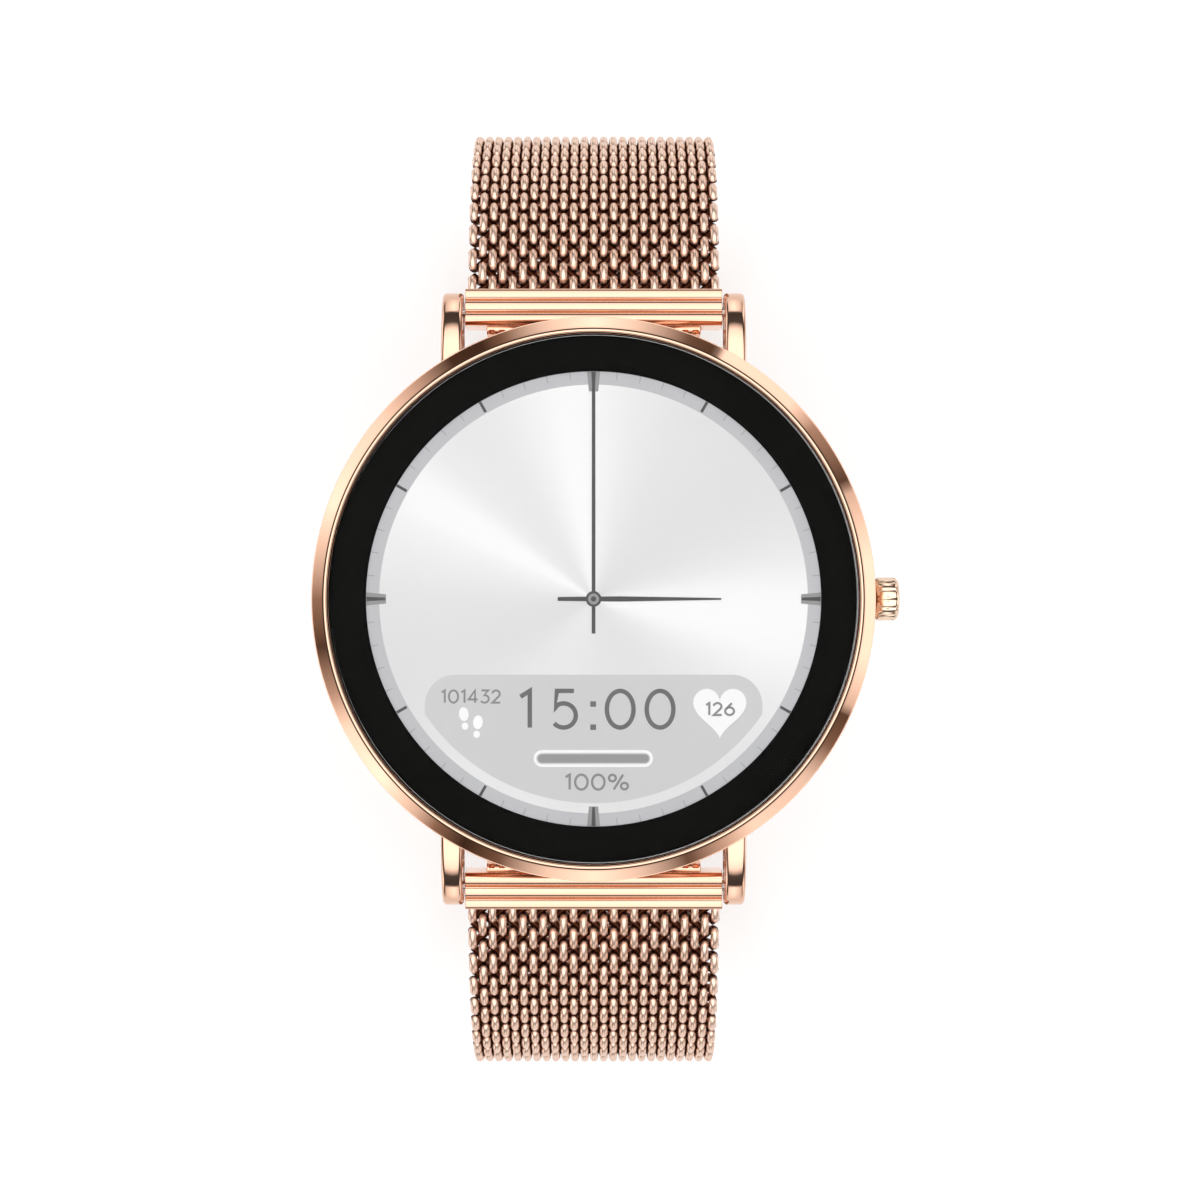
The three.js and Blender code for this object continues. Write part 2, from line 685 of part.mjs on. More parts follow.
function claspBase() {
  const outside = sleeveHalf + claspWall;
  let made = block([-outside, outside], [claspBack, claspFront], [plateBottom, plateTop]);
  made = made.subtract(
    block(
      [-sleeveHalf, sleeveHalf],
      [claspBack - 1, claspFront + 1],
      [innerRunZ - sleeveInside, innerRunZ + sleeveInside],
    ),
  );
  // window for the lever in the wrist plate
  made = made.subtract(
    block(
      [-leverHalf - running, leverHalf + running],
      [leverPinY - leverBarrel - 0.2, leverFront + 0.3],
      [innerRunZ, plateTop + 2],
    ),
  );
  // ears that hold the lever's pin
  for (const s of [-1, 1]) {
    const a = s * (leverHalf + running);
    const b = s * (leverHalf + running + 1.3);
    const ear = block(
      [Math.min(a, b), Math.max(a, b)],
      [leverPinY - 0.8, leverPinY + 0.8],
      [plateTop - 0.3, leverPinZ + 0.75],
    );
    made = made.add(ear);
  }
  made = made.subtract(rod(leverPinRadius + 0.06, -8, 8, leverPinY, leverPinZ, 12));
  // hook on the outer plate
  const tongue = [claspFront - 0.1, claspFront + hookLength];
  const finger = [claspFront + hookLength - 0.5, claspFront + hookLength];
  made = made.add(block([-6.5, 6.5], tongue, [plateBottom, plateBottom + claspWall]));
  made = made.add(block([-6.5, 6.5], finger, [plateBottom - hookDepth, plateBottom + 0.1]));
  // knuckles for the cover's pin, and room for the cover's own knuckle between them
  for (const s of [-1, 1]) {
    const a = s * 5.2;
    const b = s * outside;
    made = made.add(
      rod(knuckleRadius, Math.min(a, b), Math.max(a, b), coverPinY, coverPinZ, 16),
    );
  }
  const strap = block(
    [-sleeveHalf, sleeveHalf],
    [claspBack - 1, claspFront + 1],
    [innerRunZ - sleeveInside, innerRunZ],
  );
  made = made.subtract(strap);
  made = made.subtract(
    rod(knuckleRadius + running, -5.1, 5.1, coverPinY, coverPinZ, 20),
  );
  return made.subtract(rod(coverPinRadius + 0.06, -20, 20, coverPinY, coverPinZ, 12));
}

const coverPin = () =>
  rod(coverPinRadius, -sleeveHalf - claspWall, sleeveHalf + claspWall, coverPinY, coverPinZ, 12);

// Cover: plate, two side wings, a lip at the front to lift it by, and a knuckle round the pin.
function claspCover() {
  const wing = sleeveHalf + claspWall + running;
  const low = coverTopZ - coverPlate;
  let made = block([-wing - 0.5, wing + 0.5], [coverPinY + 1.3, coverFront], [low, coverTopZ]);
  for (const s of [-1, 1]) {
    const a = s * wing;
    const b = s * (wing + 0.5);
    made = made.add(
      block([Math.min(a, b), Math.max(a, b)], [coverPinY + 1.3, coverFront - 1.4], [low, plateBottom + 1.5]),
    );
  }
  made = made.add(block([-4.95, 4.95], [coverPinY - 0.2, coverPinY + 1.4], [low, coverTopZ]));
  made = made.add(rod(knuckleRadius, -4.95, 4.95, coverPinY, coverPinZ, 16));
  return made.subtract(rod(coverPinRadius + 0.08, -20, 20, coverPinY, coverPinZ, 12));
}

// Lever: a plate in the sleeve's window, with a barrel round its pin and a lifting tab.
function lockLever() {
  const under = innerRunZ + sleeveInside - 0.05;
  let made = block([-leverHalf, leverHalf], [leverPinY, leverFront], [under, plateTop]);
  made = made.add(rod(leverBarrel, -leverHalf, leverHalf, leverPinY, leverPinZ, 16));
  made = made.add(
    block([-2.5, 2.5], [leverFront - 1.2, leverFront - 0.2], [plateTop - 0.1, plateTop + 0.5]),
  );
  return made.subtract(rod(leverPinRadius + 0.06, -8, 8, leverPinY, leverPinZ, 12));
}

const leverPin = () =>
  rod(leverPinRadius, -leverHalf - 1.35, leverHalf + 1.35, leverPinY, leverPinZ, 12);

// Folded cap on the free end of the inner half.
const capLength = 1.6;
const tailEnd = claspFront - 0.3;
function tailCap() {
  const wide = meshWidth / 2;
  const high = halfMesh + 0.22;
  const cap = block([-wide, wide], [tailEnd - capLength, tailEnd], [innerRunZ - high, innerRunZ + high]);
  const slot = block(
    [-wide - 1, wide + 1],
    [tailEnd - capLength - 1, tailEnd - 0.4],
    [innerRunZ - halfMesh - 0.05, innerRunZ + halfMesh + 0.05],
  );
  return cap.subtract(slot);
}

// End clamp of the outer half: it grips the mesh and holds the crossbar between two arms.
const crossbarRadius = 0.5;
const crossbarY = coverFront + hookGap + crossbarRadius;
const crossbarZ = outerRunZ;
const clampBack = crossbarY + 1.6;
const clampLength = 2.6;
const clampHalf = halfMesh + 0.35;
function endClamp() {
  const wide = meshWidth / 2 + 0.2;
  const whole = block(
    [-wide, wide],
    [crossbarY - 0.6, clampBack + clampLength],
    [outerRunZ - clampHalf, outerRunZ + clampHalf],
  );
  const gap = block(
    [-wide + 1.3, wide - 1.3],
    [crossbarY - 2, clampBack],
    [outerRunZ - 2, outerRunZ + 2],
  );
  const slot = block(
    [-meshWidth / 2 - fit, meshWidth / 2 + fit],
    [clampBack + 0.9, clampBack + clampLength + 1],
    [outerRunZ - halfMesh - 0.08, outerRunZ + halfMesh + 0.08],
  );
  const bore = rod(crossbarRadius + 0.06, -20, 20, crossbarY, crossbarZ, 16);
  return whole.subtract(gap).subtract(slot).subtract(bore);
}

const crossbar = () =>
  rod(crossbarRadius, -meshWidth / 2 - 0.1, meshWidth / 2 + 0.1, crossbarY, crossbarZ, 16);

// ---- the assembly -------------------------------------------------------------------------------
add("case_body", caseBody(), "roseGold");
add("bezel_ring", bezelRing(), "roseGold");
add("cover_glass", coverGlass(), "glass");
add("glass_tape", glassTape(), "black");
add("display_panel", displayPanel(), "display");
add("display_bracket", displayBracket(), "steel");
add("display_flex", displayFlex(), "flex");
add("main_board", mainBoard(), "board");
add("inner_frame", innerFrame(), "black");
add("battery_cell", batteryCell(), "cell");
add("vibration_motor", vibrationMotor(), "steel");
add("push_switch", pushSwitch(), "black");
add("switch_plunger", switchPlunger(), "steel");
add("back_gasket", backGasket(), "black");
add("back_cover", backCover(), "roseGold");
add("sensor_window", sensorWindow(), "black");
add("sensor_chip", sensorChip(), "black");
add("sensor_board", sensorBoard(), "board");
chargePins.forEach(([x, y], i) => add("charge_pin_" + (i + 1), chargePin(x, y), "gold"));
screwPlaces().forEach(([x, y], i) => add("case_screw_" + (i + 1), caseScrew(x, y), "steel"));
add("crown_tube", crownTube(), "steel");
add("crown_seal", crownSeal(), "black");
add("stem_clip", stemClip(), "steel");
add("crown_stem", crownStem(), "steel");
add("crown_cap", crownCap(), "roseGold");
braceletHalf(1, "12", outerRunZ, clampBack + 1.0);
braceletHalf(-1, "6", innerRunZ, -(tailEnd - 0.5));
add("end_clamp", endClamp(), "roseGold");
add("crossbar", crossbar(), "steel");
add("tail_cap", tailCap(), "roseGold");
add("clasp_base", claspBase(), "roseGold");
add("cover_pin", coverPin(), "steel");
add("clasp_cover", claspCover(), "roseGold");
add("lock_lever", lockLever(), "roseGold");
add("lever_pin", leverPin(), "steel");

export default watch;
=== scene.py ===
import math

import bmesh
import bpy
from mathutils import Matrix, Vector


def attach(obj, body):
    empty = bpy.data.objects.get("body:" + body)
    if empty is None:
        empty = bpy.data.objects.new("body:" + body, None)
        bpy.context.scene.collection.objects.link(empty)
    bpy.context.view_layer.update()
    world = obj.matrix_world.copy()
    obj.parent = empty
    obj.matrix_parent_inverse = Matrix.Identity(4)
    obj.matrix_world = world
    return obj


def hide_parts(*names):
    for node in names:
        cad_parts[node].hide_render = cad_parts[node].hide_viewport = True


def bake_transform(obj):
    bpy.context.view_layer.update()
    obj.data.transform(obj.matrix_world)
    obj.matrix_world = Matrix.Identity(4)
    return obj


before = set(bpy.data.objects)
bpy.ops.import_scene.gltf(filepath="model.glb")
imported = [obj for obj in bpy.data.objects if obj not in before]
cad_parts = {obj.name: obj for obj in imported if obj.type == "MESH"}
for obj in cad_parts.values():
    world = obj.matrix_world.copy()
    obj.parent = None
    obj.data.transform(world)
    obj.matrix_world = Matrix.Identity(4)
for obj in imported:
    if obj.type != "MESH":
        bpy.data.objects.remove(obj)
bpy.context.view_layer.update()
MM = 0.001
bpy.context.scene.view_settings.view_transform = "Standard"

# ---- woven-mesh bracelet ------------------------------------------------------------------------
# Two halves of woven rose gold plated steel wire. Each row is one flattened coil of wire that runs
# across the strap, hooked through the rows before and after it, with every other row wound the
# other way. The weave is rolled to an even thickness and polished.
WIRE_RADIUS = 0.325 * MM
COIL_PITCH = 1.577 * MM
ROW_PITCH = 1.15 * MM
HALF_LOOP = 0.68 * MM  # along the strap, to the middle of the wire
HALF_DEPTH = 0.41 * MM  # through the strap, to the middle of the wire
FIRST_ROW = 0.62  # from the end link's edge, in mm
ROW_POINTS = 201  # about sixteen a turn
BAR_Y, BAR_Z = 22.3, 3.0
LINK_TILT = 14.0
LINK_HALF = 1.45
UPPER_BEND, LOWER_BEND = 18.8, 23.0
INNER_RUN, OUTER_RUN = -42.7, -44.3
STRETCHES = 5


def linear(code):
    """A colour written as #rrggbb, as the linear values that shaders take."""
    parts = [int(code[i : i + 2], 16) / 255 for i in (1, 3, 5)]
    return [p / 12.92 if p <= 0.04045 else ((p + 0.055) / 1.055) ** 2.4 for p in parts] + [1.0]


def node(tree, kind, inputs=(), **settings):
    """Adds a node with its settings. Each input, by name or number, is a value, or the node or
    socket that is linked to it."""
    made = tree.nodes.new(kind)
    for key, value in settings.items():
        setattr(made, key, value)
    for key, value in dict(inputs).items():
        if isinstance(value, bpy.types.Node):
            value = value.outputs[0]
        if isinstance(value, bpy.types.NodeSocket):
            tree.links.new(value, made.inputs[key])
        else:
            made.inputs[key].default_value = value
    return made


def material(name, shader):
    """A material with one Principled shader whose inputs are shader(tree)'s."""
    made = bpy.data.materials.new(name)
    made.use_nodes = True
    tree = made.node_tree
    tree.nodes.clear()
    bsdf = node(tree, "ShaderNodeBsdfPrincipled", shader(tree))
    node(tree, "ShaderNodeOutputMaterial", {"Surface": bsdf.outputs[0]})
    return made


def plating(tree, tint, darker, rough, spread, grain_mm, stretch=(1, 1, 1)):
    """Plated metal: a faint change of tint and gloss, in patches about grain_mm across."""
    place = node(tree, "ShaderNodeTexCoord").outputs["Object"]
    scaled = node(tree, "ShaderNodeMapping", {0: place, 3: stretch}).outputs[0]
    noise = node(
        tree, "ShaderNodeTexNoise", {"Vector": scaled, "Scale": 1 / (grain_mm * MM), "Detail": 3.0}
    ).outputs["Fac"]
    colour = node(
        tree,
        "ShaderNodeMix",
        {0: noise, 6: linear(darker), 7: linear(tint)},
        data_type="RGBA",
    ).outputs[2]
    gloss = node(
        tree, "ShaderNodeMapRange", {0: noise, 3: rough - spread, 4: rough + spread}
    ).outputs[0]
    return {"Base Color": colour, "Roughness": gloss, "Metallic": 1.0}


def filled(ramp, stops):
    """A colour ramp with its stops set, each a place from 0 to 1 and a linear colour."""
    elements = ramp.color_ramp.elements
    while len(elements) < len(stops):
        elements.new(0.5)
    for element, (place, colour) in zip(elements, stops):
        element.position = place
        element.color = colour
    return ramp


def wire_with_painted_shade(tree):
    """Plated wire, glossier where rolling and wear polish its outside and satin on the wrist side.
    Its rose gold is painted paler than on the solid pieces, with painted shade down in the weave."""
    made = plating(tree, "#FFE2D0", "#FAD3BC", 0.18, 0.04, 1.4)
    outward = node(tree, "ShaderNodeAttribute", attribute_name="outward").outputs["Fac"]
    # from the wrist side to the outside; the dark stops are painted shade down in the weave
    stops = [(0.0, "#FFEADF"), (0.12, "#E0B9A3"), (0.28, "#8E6350"), (0.45, "#4E3024")]
    stops += [(0.6, "#5E3A2C"), (0.74, "#FFFFFF")]
    painted_shade_ramp = node(tree, "ShaderNodeValToRGB", {0: outward})
    filled(painted_shade_ramp, [(place, linear(colour)) for place, colour in stops])
    made["Base Color"] = node(
        tree,
        "ShaderNodeMix",
        {0: 1.0, 6: made["Base Color"], 7: painted_shade_ramp},
        data_type="RGBA",
        blend_type="MULTIPLY",
    ).outputs[2]
    made["Roughness"] = node(
        tree, "ShaderNodeMapRange", {0: outward, 1: 0.6, 2: 0.85, 3: 0.5, 4: 0.34}
    ).outputs[0]
    return made


# rose gold plating over polished wire, painted paler, with painted shade down in the weave
wire_plating = material("rose_gold_wire", wire_with_painted_shade)


def strap_path(run):
    """The middle of a bracelet half: at(s) gives y, z and heading, s in mm from the end link."""
    start_y = BAR_Y + LINK_HALF * math.cos(math.radians(LINK_TILT))
    start_z = BAR_Z - LINK_HALF * math.sin(math.radians(LINK_TILT))
    top_y = start_y - UPPER_BEND * math.sin(math.radians(LINK_TILT))
    top_z = start_z - UPPER_BEND * math.cos(math.radians(LINK_TILT))
    shoulder = math.radians(90 - LINK_TILT) * UPPER_BEND
    straight = top_z - (run + LOWER_BEND)
    corner_y = top_y + UPPER_BEND - LOWER_BEND
    corner = math.radians(90) * LOWER_BEND

    def at(s):
        if s <= shoulder:
            a = math.radians(LINK_TILT) + s / UPPER_BEND
            return top_y + UPPER_BEND * math.sin(a), top_z + UPPER_BEND * math.cos(a)
        if s <= shoulder + straight:
            return top_y + UPPER_BEND, top_z - (s - shoulder)
        past = s - shoulder - straight
        if past <= corner:
            a = math.radians(90) + past / LOWER_BEND
            low = run + LOWER_BEND
            return corner_y + LOWER_BEND * math.sin(a), low + LOWER_BEND * math.cos(a)
        return corner_y - (past - corner), run

    def where_heading(h):
        if h <= 90:
            return math.radians(h - LINK_TILT) * UPPER_BEND
        return shoulder + straight + math.radians(h - 90) * LOWER_BEND

    def where_y(y):
        return shoulder + straight + corner + (corner_y - y)

    return at, where_heading, where_y


def weave_tree():
    """Rows of coiled wire along a path. One wire row of each hand is made, and the rows take
    turns; then the flat strip is carried onto the path."""
    tree = bpy.data.node_groups.new("woven_mesh", "GeometryNodeTree")
    face = tree.interface
    sizes = ("Path lead", "First row", "Side", "Row pitch", "Coil pitch")
    sizes += ("Half loop", "Half depth", "Wire radius")
    for kind, names in (
        ("Geometry", ("Geometry",)),
        ("Object", ("Path",)),
        ("Int", ("Rows", "First hand")),
        ("Float", sizes),
        ("Material", ("Material",)),
    ):
        for name in names:
            face.new_socket(name, in_out="INPUT", socket_type="NodeSocket" + kind)
    face.new_socket("Geometry", in_out="OUTPUT", socket_type="NodeSocketGeometry")
    given = node(tree, "NodeGroupInput").outputs
    both = node(tree, "GeometryNodeGeometryToInstance")
    # the socket lists its links newest first, so the row that comes second is linked first
    for begin_turn, turns, start, hand in ((0.75, 12.0, -6.75, -1.0), (0.0, 12.5, -6.25, 1.0)):
        line = node(tree, "GeometryNodeCurvePrimitiveLine")
        dense = node(tree, "GeometryNodeResampleCurve", {"Curve": line, "Count": ROW_POINTS})
        share = node(tree, "GeometryNodeSplineParameter").outputs["Factor"]
        t = node(
            tree,
            "ShaderNodeMath",
            {0: share, 1: turns * 2 * math.pi, 2: begin_turn * 2 * math.pi},
            operation="MULTIPLY_ADD",
        )
        # the wire runs straight over the top and steps sideways on the wrist side
        wave = node(tree, "ShaderNodeMath", {0: t}, operation="COSINE")
        step = node(tree, "ShaderNodeMath", {0: wave, 1: 4 / 3, 2: t}, operation="MULTIPLY_ADD")
        twice = node(tree, "ShaderNodeMath", {0: t, 1: 2.0}, operation="MULTIPLY")
        wave = node(tree, "ShaderNodeMath", {0: twice}, operation="SINE")
        step = node(tree, "ShaderNodeMath", {0: wave, 1: -1 / 6, 2: step}, operation="MULTIPLY_ADD")
        x = node(
            tree,
            "ShaderNodeMath",
            {0: step, 1: hand / (2 * math.pi), 2: hand * start},
            operation="MULTIPLY_ADD",
        )
        x = node(tree, "ShaderNodeMath", {0: x, 1: given["Coil pitch"]}, operation="MULTIPLY")
        wave = node(tree, "ShaderNodeMath", {0: t}, operation="COSINE")
        y = node(tree, "ShaderNodeMath", {0: wave, 1: given["Half loop"]}, operation="MULTIPLY")
        # the loops are a little flatter than round, because the weave is rolled
        rise = node(tree, "ShaderNodeMath", {0: t}, operation="SINE")
        square = node(tree, "ShaderNodeMath", {0: rise, 1: rise}, operation="MULTIPLY")
        flat = node(tree, "ShaderNodeMath", {0: square, 1: -0.2, 2: 1.2}, operation="MULTIPLY_ADD")
        z = node(tree, "ShaderNodeMath", {0: rise, 1: flat}, operation="MULTIPLY")
        z = node(tree, "ShaderNodeMath", {0: z, 1: given["Half depth"]}, operation="MULTIPLY")
        spot = node(tree, "ShaderNodeCombineXYZ", {0: x, 1: y, 2: z})
        curve = node(tree, "GeometryNodeSetPosition", {0: dense, 2: spot})
        section = node(
            tree,
            "GeometryNodeCurvePrimitiveCircle",
            {"Resolution": 8, "Radius": given["Wire radius"]},
        )
        wire = node(
            tree,
            "GeometryNodeCurveToMesh",
            {"Curve": curve, "Profile Curve": section, "Fill Caps": True},
        )
        tree.links.new(wire.outputs[0], both.inputs[0])
    offset = node(tree, "ShaderNodeCombineXYZ", {1: given["Row pitch"]})
    begin = node(tree, "ShaderNodeCombineXYZ", {1: given["First row"]})
    rows = node(
        tree,
        "GeometryNodeMeshLine",
        {"Count": given["Rows"], "Start Location": begin, "Offset": offset},
        mode="OFFSET",
    )
    index = node(tree, "GeometryNodeInputIndex")
    which = node(tree, "ShaderNodeMath", {0: index, 1: given["First hand"]}, operation="ADD")
    which = node(tree, "ShaderNodeMath", {0: which, 1: 2.0}, operation="MODULO")
    placed = node(
        tree,
        "GeometryNodeInstanceOnPoints",
        {"Points": rows, "Instance": both, "Pick Instance": True, "Instance Index": which},
    )
    flat = node(tree, "GeometryNodeRealizeInstances", {0: placed})
    # onto the path: y becomes the distance along it, and z the distance out of it
    here = node(tree, "ShaderNodeSeparateXYZ", {0: node(tree, "GeometryNodeInputPosition")}).outputs
    curve = node(tree, "GeometryNodeObjectInfo", {"Object": given["Path"]}).outputs["Geometry"]
    along = node(tree, "ShaderNodeMath", {0: here[1], 1: given["Path lead"]}, operation="ADD")
    sample = node(
        tree, "GeometryNodeSampleCurve", {"Curves": curve, "Length": along}, mode="LENGTH"
    ).outputs
    right = node(tree, "ShaderNodeCombineXYZ", {0: given["Side"]})
    out = node(
        tree, "ShaderNodeVectorMath", {0: right, 1: sample["Tangent"]}, operation="CROSS_PRODUCT"
    )
    across = node(tree, "ShaderNodeVectorMath", {0: right, "Scale": here[0]}, operation="SCALE")
    proud = node(tree, "ShaderNodeVectorMath", {0: out, "Scale": here[2]}, operation="SCALE")
    spot = node(tree, "ShaderNodeVectorMath", {0: sample["Position"], 1: across})
    spot = node(tree, "ShaderNodeVectorMath", {0: spot, 1: proud})
    full = node(
        tree, "ShaderNodeMath", {0: given["Half depth"], 1: given["Wire radius"]}, operation="ADD"
    )
    level = node(tree, "ShaderNodeMath", {0: here[2], 1: full}, operation="DIVIDE")
    level = node(tree, "ShaderNodeMath", {0: level, 1: 0.5, 2: 0.5}, operation="MULTIPLY_ADD")
    marked = node(
        tree,
        "GeometryNodeStoreNamedAttribute",
        {"Geometry": flat, "Name": "outward", "Value": level},
        data_type="FLOAT",
        domain="POINT",
    )
    bent = node(tree, "GeometryNodeSetPosition", {0: marked, 2: spot})
    smooth = node(tree, "GeometryNodeSetShadeSmooth", {0: bent})
    done = node(tree, "GeometryNodeSetMaterial", {0: smooth, 2: given["Material"]})
    node(tree, "NodeGroupOutput", {0: done})
    return tree


def grown(name, tree, values):
    """A plain mesh object grown by a node tree, with the tree's inputs set by name."""
    obj = bpy.data.objects.new(name + "_grower", bpy.data.meshes.new(name + "_seed"))
    bpy.context.scene.collection.objects.link(obj)
    modifier = obj.modifiers.new("grow", "NODES")
    modifier.node_group = tree
    for item in tree.interface.items_tree:
        if item.in_out == "INPUT" and item.name in values:
            modifier[item.identifier] = values[item.name]
    obj.update_tag()
    bpy.context.view_layer.update()
    seen = obj.evaluated_get(bpy.context.evaluated_depsgraph_get())
    mesh = bpy.data.meshes.new_from_object(seen)
    mesh.name = name
    bpy.data.objects.remove(obj)
    made = bpy.data.objects.new(name, mesh)
    bpy.context.scene.collection.objects.link(made)
    return made


weave = weave_tree()
turn = (180 - LINK_TILT) / STRETCHES
PATH_LEAD = 3.0
for label, side, run, end_y in (("12", 1, OUTER_RUN, 11.45), ("6", -1, INNER_RUN, -6.2)):
    at, where_heading, where_y = strap_path(run)
    total = where_y(end_y)
    spline_data = bpy.data.curves.new("path_" + label, "CURVE")
    spline_data.dimensions = "3D"
    spline = spline_data.splines.new("POLY")
    stops = [-PATH_LEAD + 0.25 * i for i in range(int((total + PATH_LEAD + 3) / 0.25))]
    spline.points.add(len(stops) - 1)
    for point, s in zip(spline.points, stops):
        y, z = at(s)
        point.co = (0, side * y * MM, z * MM, 1)
    path = bpy.data.objects.new("path_" + label, spline_data)
    bpy.context.scene.collection.objects.link(path)
    hinges = [where_heading(LINK_TILT + turn * (i + 0.5)) for i in range(STRETCHES)]
    ends = [0.0] + hinges + [total]
    middles = [(a + b) / 2 for a, b in zip(ends, ends[1:])]
    cuts = [-1.0] + middles + [total - 1.1]
    row_s = [FIRST_ROW + ROW_PITCH / MM * i for i in range(int(total / (ROW_PITCH / MM)) + 1)]
    for k in range(STRETCHES + 2):
        mine = [i for i, s in enumerate(row_s) if cuts[k] <= s < cuts[k + 1]]
        woven = grown(
            f"woven_{label}_{k}",
            weave,
            {
                "Path": path,
                "Path lead": PATH_LEAD * MM,
                "First row": row_s[mine[0]] * MM,
                "Rows": len(mine),
                "First hand": mine[0] % 2,
                "Side": float(side),
                "Row pitch": ROW_PITCH,
                "Coil pitch": COIL_PITCH,
                "Half loop": HALF_LOOP,
                "Half depth": HALF_DEPTH,
                "Wire radius": WIRE_RADIUS,
                "Material": wire_plating,
            },
        )
        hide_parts(f"mesh_{label}_{min(k, STRETCHES)}")
        if k == 0:
            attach(woven, f"strap_{label}_0")
        elif k == STRETCHES + 1:
            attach(woven, f"strap_{label}_{STRETCHES}")
        else:
            first, last = (at(middles[k - 1]), at(middles[k]))
            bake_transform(woven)
    bpy.data.objects.remove(path)

# ---- end links ----------------------------------------------------------------------------------
# Solid rose gold links that join the mesh to the lugs. Three crowned ridges run across the top
# with two narrow grooves between them; the ends are cut square with broken edges. A narrower
# knuckle with the folded end of the mesh looks out on the case side.
LINK_WIDTH = 19.9
RIDGE_TOP = 1.6
LINK_UNDER = -1.2
RIDGE_PITCH, RIDGE_HALF = 1.0, 0.44
GROOVE_FLOOR = 1.22
KNUCKLE_HALF = 8.3


def piece(name, mesh, look, smooth_angle=40):
    """An object of a mesh in one material, right way out, smooth where it is round and flat where
    it is flat."""
    mesh.materials.clear()
    mesh.materials.append(look)
    tidy = bmesh.new()
    tidy.from_mesh(mesh)
    bmesh.ops.recalc_face_normals(tidy, faces=tidy.faces)
    tidy.to_mesh(mesh)
    tidy.free()
    mesh.shade_smooth()
    mesh.set_sharp_from_angle(angle=math.radians(smooth_angle))
    made = bpy.data.objects.new(name, mesh)
    bpy.context.scene.collection.objects.link(made)
    made.modifiers.new("broad faces stay flat", "WEIGHTED_NORMAL").keep_sharp = True
    bpy.context.view_layer.update()
    seen = made.evaluated_get(bpy.context.evaluated_depsgraph_get())
    finished = bpy.data.meshes.new_from_object(seen)
    made.modifiers.clear()
    made.data = finished
    bpy.data.meshes.remove(mesh)
    finished.name = name
    return made


def mesh_object(name, verts, faces, look, smooth_angle=40):
    """A piece from points in mm and faces."""
    mesh = bpy.data.meshes.new(name)
    mesh.from_pydata([[c * MM for c in v] for v in verts], [], faces)
    return piece(name, mesh, look, smooth_angle)


def inset(outline, amount):
    """A closed outline moved inwards by an amount, corner by corner."""
    n = len(outline)
    area = sum(
        outline[i][0] * outline[(i + 1) % n][1] - outline[(i + 1) % n][0] * outline[i][1]
        for i in range(n)
    )
    sign = 1 if area > 0 else -1
    moved = []
    for i in range(n):
        p, q, r = (Vector(outline[i - 1]), Vector(outline[i]), Vector(outline[(i + 1) % n]))
        a, b = (q - p).normalized(), (r - q).normalized()
        na, nb = Vector((-a.y, a.x)), Vector((-b.y, b.x))
        mid = na + nb
        reach = amount / max(0.35, mid.length_squared / 2)
        moved.append(tuple(q + mid * sign * reach))
    return moved


def prism(outline, low, high, soft, place):
    """Rings of an outline drawn from low to high, with edges rounded by soft at both ends.
    place(u, v, w) turns outline and depth into a point. Returns points and faces."""
    rings = []
    for k in range(4):
        a = math.pi / 2 * k / 3
        rings.append((low + soft * (1 - math.sin(a)), soft * (1 - math.cos(a))))
    rings = rings[::-1]
    rings += [(low + high - w, i) for w, i in rings[::-1]]
    verts, faces = [], []
    n = len(outline)
    for w, i in rings:
        shape = inset(outline, i) if i > 1e-9 else outline
        verts += [place(u, v, w) for u, v in shape]
    for k in range(len(rings) - 1):
        for i in range(n):
            j = (i + 1) % n
            faces.append((k * n + i, k * n + j, (k + 1) * n + j, (k + 1) * n + i))
    faces.append(tuple(range(n))[::-1])
    faces.append(tuple((len(rings) - 1) * n + i for i in range(n)))
    return verts, faces


def joined(parts):
    """Several lists of points and faces as one."""
    verts, faces = [], []
    for v, f in parts:
        base = len(verts)
        verts += v
        faces += [tuple(i + base for i in face) for face in f]
    return verts, faces


def arc(cy, cz, radius, start, end, steps):
    """Points on an arc, angles in degrees."""
    angles = [math.radians(start + (end - start) * i / steps) for i in range(steps + 1)]
    return [(cy + radius * math.cos(a), cz + radius * math.sin(a)) for a in angles]


